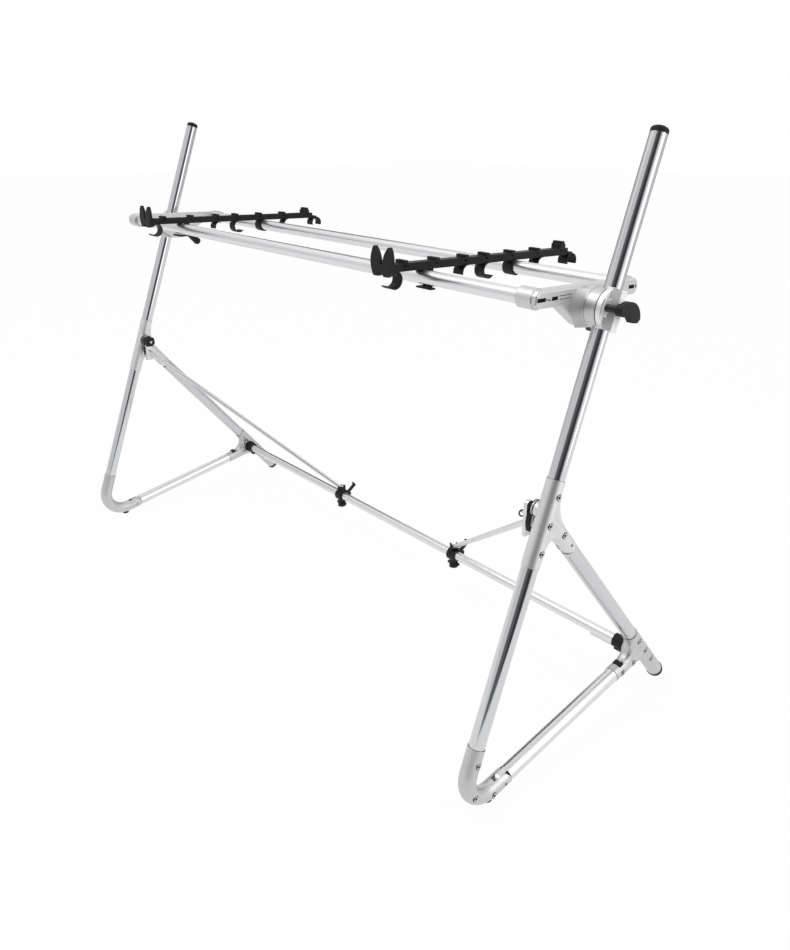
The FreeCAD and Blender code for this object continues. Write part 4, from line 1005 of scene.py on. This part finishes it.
@dataclass
class StrutTrim(SideTrim):
    """Painted dark reflection along one rear strut, painted shade in its drain slit, and the rubber rim
    of its foot.
    """

    tube_mm: float = 12.7
    turn_deg: float = -64.0
    seam_span: tuple[float, float] = (-404.0, -104.0)
    seam_wide: float = 1.1
    slit_span: tuple[float, float] = (-371.0, -338.0)
    slit_wide: float = 1.0
    slit_proud: float = 0.06
    mouth_wide: float = 1.9
    mouth_proud: float = 0.1
    strip_deep: float = 0.7
    strip_proud: float = 0.05
    strip_round: float = 0.2
    foot_along: float = -575.0
    foot_mm: float = 13.6
    foot_corners: int = 64
    rim_mm: float = 1.3

    def build(self) -> None:
        """Lay the painted reflection line and the slit's painted shade into the tube, and put the rim
        round the foot.
        """
        body = Body.FRAME.value
        # a grey line along the tube: a painted reflection of the dark studio
        reflection_line = self.strip(self.seam_span, self.seam_wide, 0.0)
        self.add("strut_seam", [reflection_line], SHADE_AND_REFLECTION_GREY, body, smooth=False)
        # black strips inside the drain slit: painted shade
        low, high = self.slit_span
        slit = self.strip((low, high), self.slit_wide, self.slit_proud)
        mouth = self.strip((low, (low + high) / 2), self.mouth_wide, self.mouth_proud)
        self.add("strut_slit", [slit, mouth], SHADOW_BLACK, body, smooth=False)
        end = LAYOUT.strut @ Matrix.Translation((0.0, 0.0, self.foot_along))
        across = end @ Matrix.Rotation(math.pi / 2, 4, "Y")
        rim = ring_mesh(self.foot_mm, self.rim_mm, across, self.foot_corners)
        self.add("foot_rim", [rim], BLACK_RUBBER, body, smooth=True)

    def strip(self, span: tuple[float, float], wide: float, proud: float) -> BMesh:
        """A narrow strip let into the tube's wall.

        Args:
            span: Lower and upper end along the strut.
            wide: Width of the strip.
            proud: How far it stands out of the wall, beyond the hair that keeps it visible.

        Returns:
            The strip in metres.
        """
        low, high = span
        turned = LAYOUT.strut @ Matrix.Rotation(math.radians(self.turn_deg), 4, "Z")
        out = self.tube_mm + self.strip_proud + proud - self.strip_deep / 2
        middle = Matrix.Translation((out, 0.0, (low + high) / 2))
        return block_mesh((self.strip_deep, wide, high - low), turned @ middle, self.strip_round)


@dataclass
class BraceFittings(SideTrim):
    """Fittings at the upper end of one brace: hub rings, lever inlay, bolt end, split ring and knob."""

    plate_x: float = -34.7
    ring_xs: tuple[float, ...] = (-16.3, -20.0)
    ring_mm: float = 11.9
    ring_rim: float = 0.95
    ring_corners: int = 64
    inlay_spot: tuple[float, float, float] = (-21.25, 3.6, -20.0)
    inlay_deg: float = 10.4
    inlay_size: tuple[float, float, float] = (0.6, 3.4, 19.0)
    inlay_round: float = 0.25
    bolt_mm: float = 3.2
    bolt_tip: tuple[float, float] = (1.4, 1.2)
    bolt_short: float = 3.0
    bolt_through: float = 14.9
    knob_mm: float = 13.0
    knob_thick: float = 12.0
    knob_taper: float = 0.86
    knob_round: float = 1.2
    knob_steps: int = 84
    lobes: int = 7
    lobe_mm: float = 1.7
    pin_drop: float = 14.5
    pin_mm: float = 2.0
    pin_long: float = 10.5
    pin_tip: tuple[float, float] = (0.9, 0.8)
    split_x: float = -42.5
    split_mm: float = 5.0
    split_rim: float = 1.15
    split_deg: float = -38.0
    split_corners: int = 48

    def build(self) -> None:
        """Make the fittings; the left brace has a knob, the right one a hitch pin with a ring."""
        body = Body.FRAME.value
        lock = self.side.word + "_brace_lock"
        rings = []
        for x in self.ring_xs:
            frame = LAYOUT.hub @ Matrix.Translation((x, 0.0, 0.0))
            rings.append(ring_mesh(self.ring_mm, self.ring_rim, frame, self.ring_corners))
        self.add("hub_rings", rings, BLACK_NYLON, body, smooth=True)
        turn = Matrix.Rotation(math.radians(self.inlay_deg), 4, "X")
        slope = LAYOUT.hub @ Matrix.Translation(self.inlay_spot) @ turn
        inlay = block_mesh(self.inlay_size, slope, self.inlay_round)
        self.add("lever_inlay", [inlay], BRACE_ROD, lock, smooth=False)
        long = self.bolt_through if self.side is Side.LEFT else self.bolt_short
        bolt = self.pin(self.bolt_mm, long, self.bolt_tip, LAYOUT.hub)
        self.add("bolt_end", [bolt], SCREW_STEEL, body, smooth=True)
        if self.side is Side.LEFT:
            self.add("brace_knob", [self.knob()], BLACK_NYLON, lock, smooth=False)
            return
        level = Matrix.Rotation(math.radians(LAYOUT.lean), 4, "X")
        low = LAYOUT.hub @ level @ Matrix.Translation((0.0, 0.0, -self.pin_drop))
        pin = self.pin(self.pin_mm, self.pin_long, self.pin_tip, low)
        self.add("hitch_pin", [pin], SCREW_STEEL, body, smooth=True)
        hang = Matrix.Translation((self.split_x, 0.0, self.pin_mm - self.split_mm))
        tilt = Matrix.Rotation(math.radians(self.split_deg), 4, "Z")
        split = ring_mesh(self.split_mm, self.split_rim, low @ hang @ tilt, self.split_corners)
        self.add("split_ring", [split], BLACK_NYLON, body, smooth=True)

    def pin(self, radius: float, long: float, tip: tuple[float, float], frame: Matrix) -> BMesh:
        """A turned pin that stands inboard on the brace plate and ends in a chamfer.

        Args:
            radius: Radius of the pin.
            long: Length of its straight part.
            tip: Length and depth of the chamfer.
            frame: Frame whose X axis it follows.

        Returns:
            The pin in metres.
        """
        made = bmesh.new()
        rows = []
        for along, reach in ((0.0, radius), (long, radius), (long + tip[0], radius - tip[1])):
            row = []
            for step in range(PIN_STEPS):
                angle = 2 * math.pi * step / PIN_STEPS
                across = (reach * math.cos(angle), reach * math.sin(angle))
                row.append(made.verts.new(Vector((self.plate_x - along, *across))))
            rows.append(row)
        join_rows(made, rows, closed=False)
        made.transform(Matrix.Scale(MM, 4) @ frame)
        return made

    def knob(self) -> BMesh:
        """Lobed knob that sits on the plate round the bolt.

        Returns:
            The knob in metres.
        """
        made = bmesh.new()
        low, high = [], []
        for step in range(self.knob_steps):
            angle = 2 * math.pi * step / self.knob_steps
            reach = self.knob_mm + self.lobe_mm * math.cos(self.lobes * angle)
            across = Vector((0.0, reach * math.cos(angle), reach * math.sin(angle)))
            top = Vector((self.plate_x - self.knob_thick, 0.0, 0.0))
            low.append(made.verts.new(Vector((self.plate_x, 0.0, 0.0)) + across))
            high.append(made.verts.new(top + across * self.knob_taper))
        made.faces.new(low)
        made.faces.new(list(reversed(high)))
        for step in range(self.knob_steps):
            after = (step + 1) % self.knob_steps
            made.faces.new((low[step], high[step], high[after], low[after]))
        rims = [e for e in made.edges if len({round(v.co.x, 3) for v in e.verts}) == 1]
        bmesh.ops.bevel(
            made, geom=rims, offset=self.knob_round, segments=3, affect="EDGES", profile=0.5
        )
        made.transform(Matrix.Scale(MM, 4) @ LAYOUT.hub)
        bmesh.ops.recalc_face_normals(made, faces=made.faces)
        return made


@dataclass(frozen=True)
class Card:
    """A grey card of the studio that gives bright metal something to mirror; metres."""

    name: str
    start: tuple[float, float]
    end: tuple[float, float]
    colour: str
    high: float
    low: float = 0.02


@dataclass(frozen=True)
class Lamp:
    """A soft lamp of the studio: its place and its width and height in metres, and its power."""

    name: str
    spot: tuple[float, float, float]
    size: tuple[float, float]
    watts: float


@dataclass
class Studio:
    """Pale floor, soft light and the camera of the photograph."""

    focal_px: float = 816.1
    centre_px: tuple[float, float] = (387.8, 416.4)
    eye_m: tuple[float, float, float] = (1.2855, -0.96925, 0.9799)
    yaw_deg: float = 48.92
    pitch_deg: float = -19.88
    roll_deg: float = 0.15
    sensor_mm: float = 36.0
    white: str = "#ffffff"
    surround_light: float = 0.65
    floor_m: float = 30.0
    floor_drop_mm: float = 0.3
    floor_white: float = 0.965
    paper: str = "#f6f6f6"
    aim_m: tuple[float, float, float] = (0.0, 0.0, 0.45)
    cards: tuple[Card, ...] = (
        Card("dark_card_left", (0.90, -1.595), (1.376, -1.048), "#6a6a6c", 2.8),
        Card("dark_card_right", (1.376, -1.048), (1.852, -0.50), "#424244", 2.8),
        Card("soft_card_left", (0.76, -1.756), (0.90, -1.595), "#b4b4b6", 2.8),
        Card("soft_card_right", (1.852, -0.50), (2.03, -0.295), "#b0b0b2", 2.8),
        Card("front_card", (-2.6, -3.0), (1.3, -3.0), "#e2e2e4", 3.4),
        Card("left_card", (-3.3, 0.6), (-3.3, -3.0), "#e0e0e2", 2.4),
        Card("rear_card", (0.9, 2.6), (2.5, 1.7), "#dcdcde", 1.6),
        Card("rear_dark_card", (-0.35, 2.9), (0.75, 2.9), "#7c7c7e", 2.2),
        Card("rear_left_dark_card", (-1.86, 0.67), (-1.48, 1.49), "#565658", 2.2),
        Card("left_dark_card", (-3.2, -0.1), (-3.2, 0.3), "#8a8a8c", 2.2),
    )
    lamps: tuple[Lamp, ...] = (
        Lamp("key_lamp", (-1.0, -1.6, 4.2), (2.2, 2.2), 44.0),
        Lamp("side_lamp", (3.0, 1.2, 2.4), (1.8, 1.8), 14.0),
        Lamp("strip_lamp", (2.15, 0.55, 0.8), (0.55, 1.3), 3.4),
    )

    def build(self) -> None:
        """Make everything that isn't part of the stand."""
        self.make_camera()
        self.make_world()
        self.make_floor()
        for card in self.cards:
            self.make_card(card)
        for lamp in self.lamps:
            self.make_lamp(lamp)

    def camera_axes(self) -> tuple[Vector, Vector, Vector]:
        """Work out how the photograph's camera is turned.

        Returns:
            Its right, up and forward directions.
        """
        angles = (self.yaw_deg, self.pitch_deg, self.roll_deg)
        yaw, pitch, roll = (math.radians(a) for a in angles)
        right = Vector((math.cos(yaw), math.sin(yaw), 0.0))
        level = Vector((-math.sin(yaw), math.cos(yaw), 0.0))
        forward = level * math.cos(pitch) + Vector((0.0, 0.0, math.sin(pitch)))
        above = right.cross(forward)
        turned = right * math.cos(roll) + above * math.sin(roll)
        return turned, turned.cross(forward), forward

    def make_camera(self) -> None:
        """Set up the camera at the photograph's viewing angle."""
        data = bpy.data.cameras.new("photo_camera")
        data.sensor_width = self.sensor_mm
        data.lens = self.focal_px * self.sensor_mm / PHOTO_HEIGHT
        data.shift_x = (PHOTO_WIDTH / 2 - self.centre_px[0]) / PHOTO_HEIGHT
        data.shift_y = (self.centre_px[1] - PHOTO_HEIGHT / 2) / PHOTO_HEIGHT
        camera = bpy.data.objects.new("photo_camera", data)
        right, above, forward = self.camera_axes()
        turn = Matrix((right, above, -forward)).transposed().to_4x4()
        camera.matrix_world = Matrix.Translation(self.eye_m) @ turn
        bpy.context.scene.collection.objects.link(camera)
        bpy.context.scene.camera = camera

    def make_world(self) -> None:
        """Even white surroundings: full white where seen or mirrored, softer as light."""
        world = bpy.data.worlds.new("studio_white")
        world.use_nodes = True
        tree = world.node_tree
        tree.nodes.clear()
        add = partial(add_node, tree)
        lighting, backdrop = (
            add("ShaderNodeBackground", {"Color": linear(self.white), "Strength": level})
            for level in (self.surround_light, 1.0)
        )
        mixed = add(
            "ShaderNodeMixShader",
            {0: self.seen_rays(tree), 1: lighting.outputs[0], 2: backdrop.outputs[0]},
        )
        add("ShaderNodeOutputWorld", {"Surface": mixed.outputs[0]})
        bpy.context.scene.world = world

    def seen_rays(self, tree: NodeTree) -> NodeSocket:
        """Tell rays that end in the picture from rays that only carry light.

        Args:
            tree: Node tree that gets the nodes.

        Returns:
            Socket that is 1 for what the camera sees directly, in a mirror or through glass.
        """
        add = partial(add_node, tree)
        path = add("ShaderNodeLightPath")
        seen = path.outputs["Is Camera Ray"]
        for ray in ("Is Glossy Ray", "Is Transmission Ray"):
            either = add("ShaderNodeMath", {0: seen, 1: path.outputs[ray]}, operation="MAXIMUM")
            seen = either.outputs[0]
        return seen

    def make_floor(self) -> None:
        """A pale floor that keeps a faint shadow of the stand."""
        half = self.floor_m / 2
        low = -self.floor_drop_mm * MM
        corners = [(-half, -half, low), (half, -half, low), (half, half, low), (-half, half, low)]
        made = blank_material("studio_paper")
        tree = made.node_tree
        add = partial(add_node, tree)
        seen = self.seen_rays(tree)
        share = add("ShaderNodeMath", {0: seen, 1: self.floor_white}, operation="MULTIPLY")
        paper = add("ShaderNodeBsdfDiffuse", {"Color": linear(self.paper)})
        glow = add("ShaderNodeEmission", {"Color": linear(self.white), "Strength": 1.0})
        mixed = add("ShaderNodeMixShader", {0: share.outputs[0], 1: paper.outputs[0], 2: glow.outputs[0]})
        add("ShaderNodeOutputMaterial", {"Surface": mixed.outputs[0]})
        floor = self.panel("floor", corners, made)

    def panel(self, name: str, corners: list[tuple[float, ...]], material: Material) -> Object:
        """A flat panel of the studio.

        Args:
            name: Name of the panel.
            corners: Its four corners in metres.
            material: Its material.

        Returns:
            The panel's object.
        """
        mesh = bpy.data.meshes.new(name)
        mesh.from_pydata(corners, [], [(0, 1, 2, 3)])
        mesh.materials.append(material)
        return mesh_object(name, mesh)

    def make_card(self, card: Card) -> None:
        """Stand up one card, which only shows where metal mirrors it.

        Args:
            card: Place, size and colour of the card.
        """
        corners = [
            (*card.start, card.low),
            (*card.end, card.low),
            (*card.end, card.high),
            (*card.start, card.high),
        ]
        made = blank_material(card.name + "_felt")
        add = partial(add_node, made.node_tree)
        felt = add("ShaderNodeEmission", {"Color": linear(card.colour), "Strength": 1.0})
        add("ShaderNodeOutputMaterial", {"Surface": felt.outputs[0]})
        piece = self.panel(card.name, corners, made)
        for rays in ("camera", "diffuse", "shadow", "transmission"):
            setattr(piece, "visible_" + rays, False)

    def make_lamp(self, lamp: Lamp) -> None:
        """Hang one lamp that looks at the middle of the stand.

        Args:
            lamp: Place, size and power of the lamp.
        """
        data = bpy.data.lights.new(lamp.name, "AREA")
        data.shape = "RECTANGLE"
        data.size, data.size_y = lamp.size
        data.energy = lamp.watts
        hung = bpy.data.objects.new(lamp.name, data)
        aim = Vector(self.aim_m) - Vector(lamp.spot)
        turn = aim.to_track_quat("-Z", "Y").to_matrix().to_4x4()
        hung.matrix_world = Matrix.Translation(lamp.spot) @ turn
        bpy.context.scene.collection.objects.link(hung)


def main() -> None:
    """Load the frame, dress it and set up the studio."""
    logging.basicConfig(level=logging.INFO, format="%(message)s")
    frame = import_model()
    dress_nodes(frame["nodes"])
    ScrewSet().build(frame["nodes"])
    for side in Side:
        for trim in (JointLines, WingInlays, ClampKnob, ClampLines, StrutTrim, BraceFittings):
            trim(side).build()
    Studio().build()
    bpy.context.scene.view_settings.view_transform = "Standard"


if __name__ == "__main__":
    main()
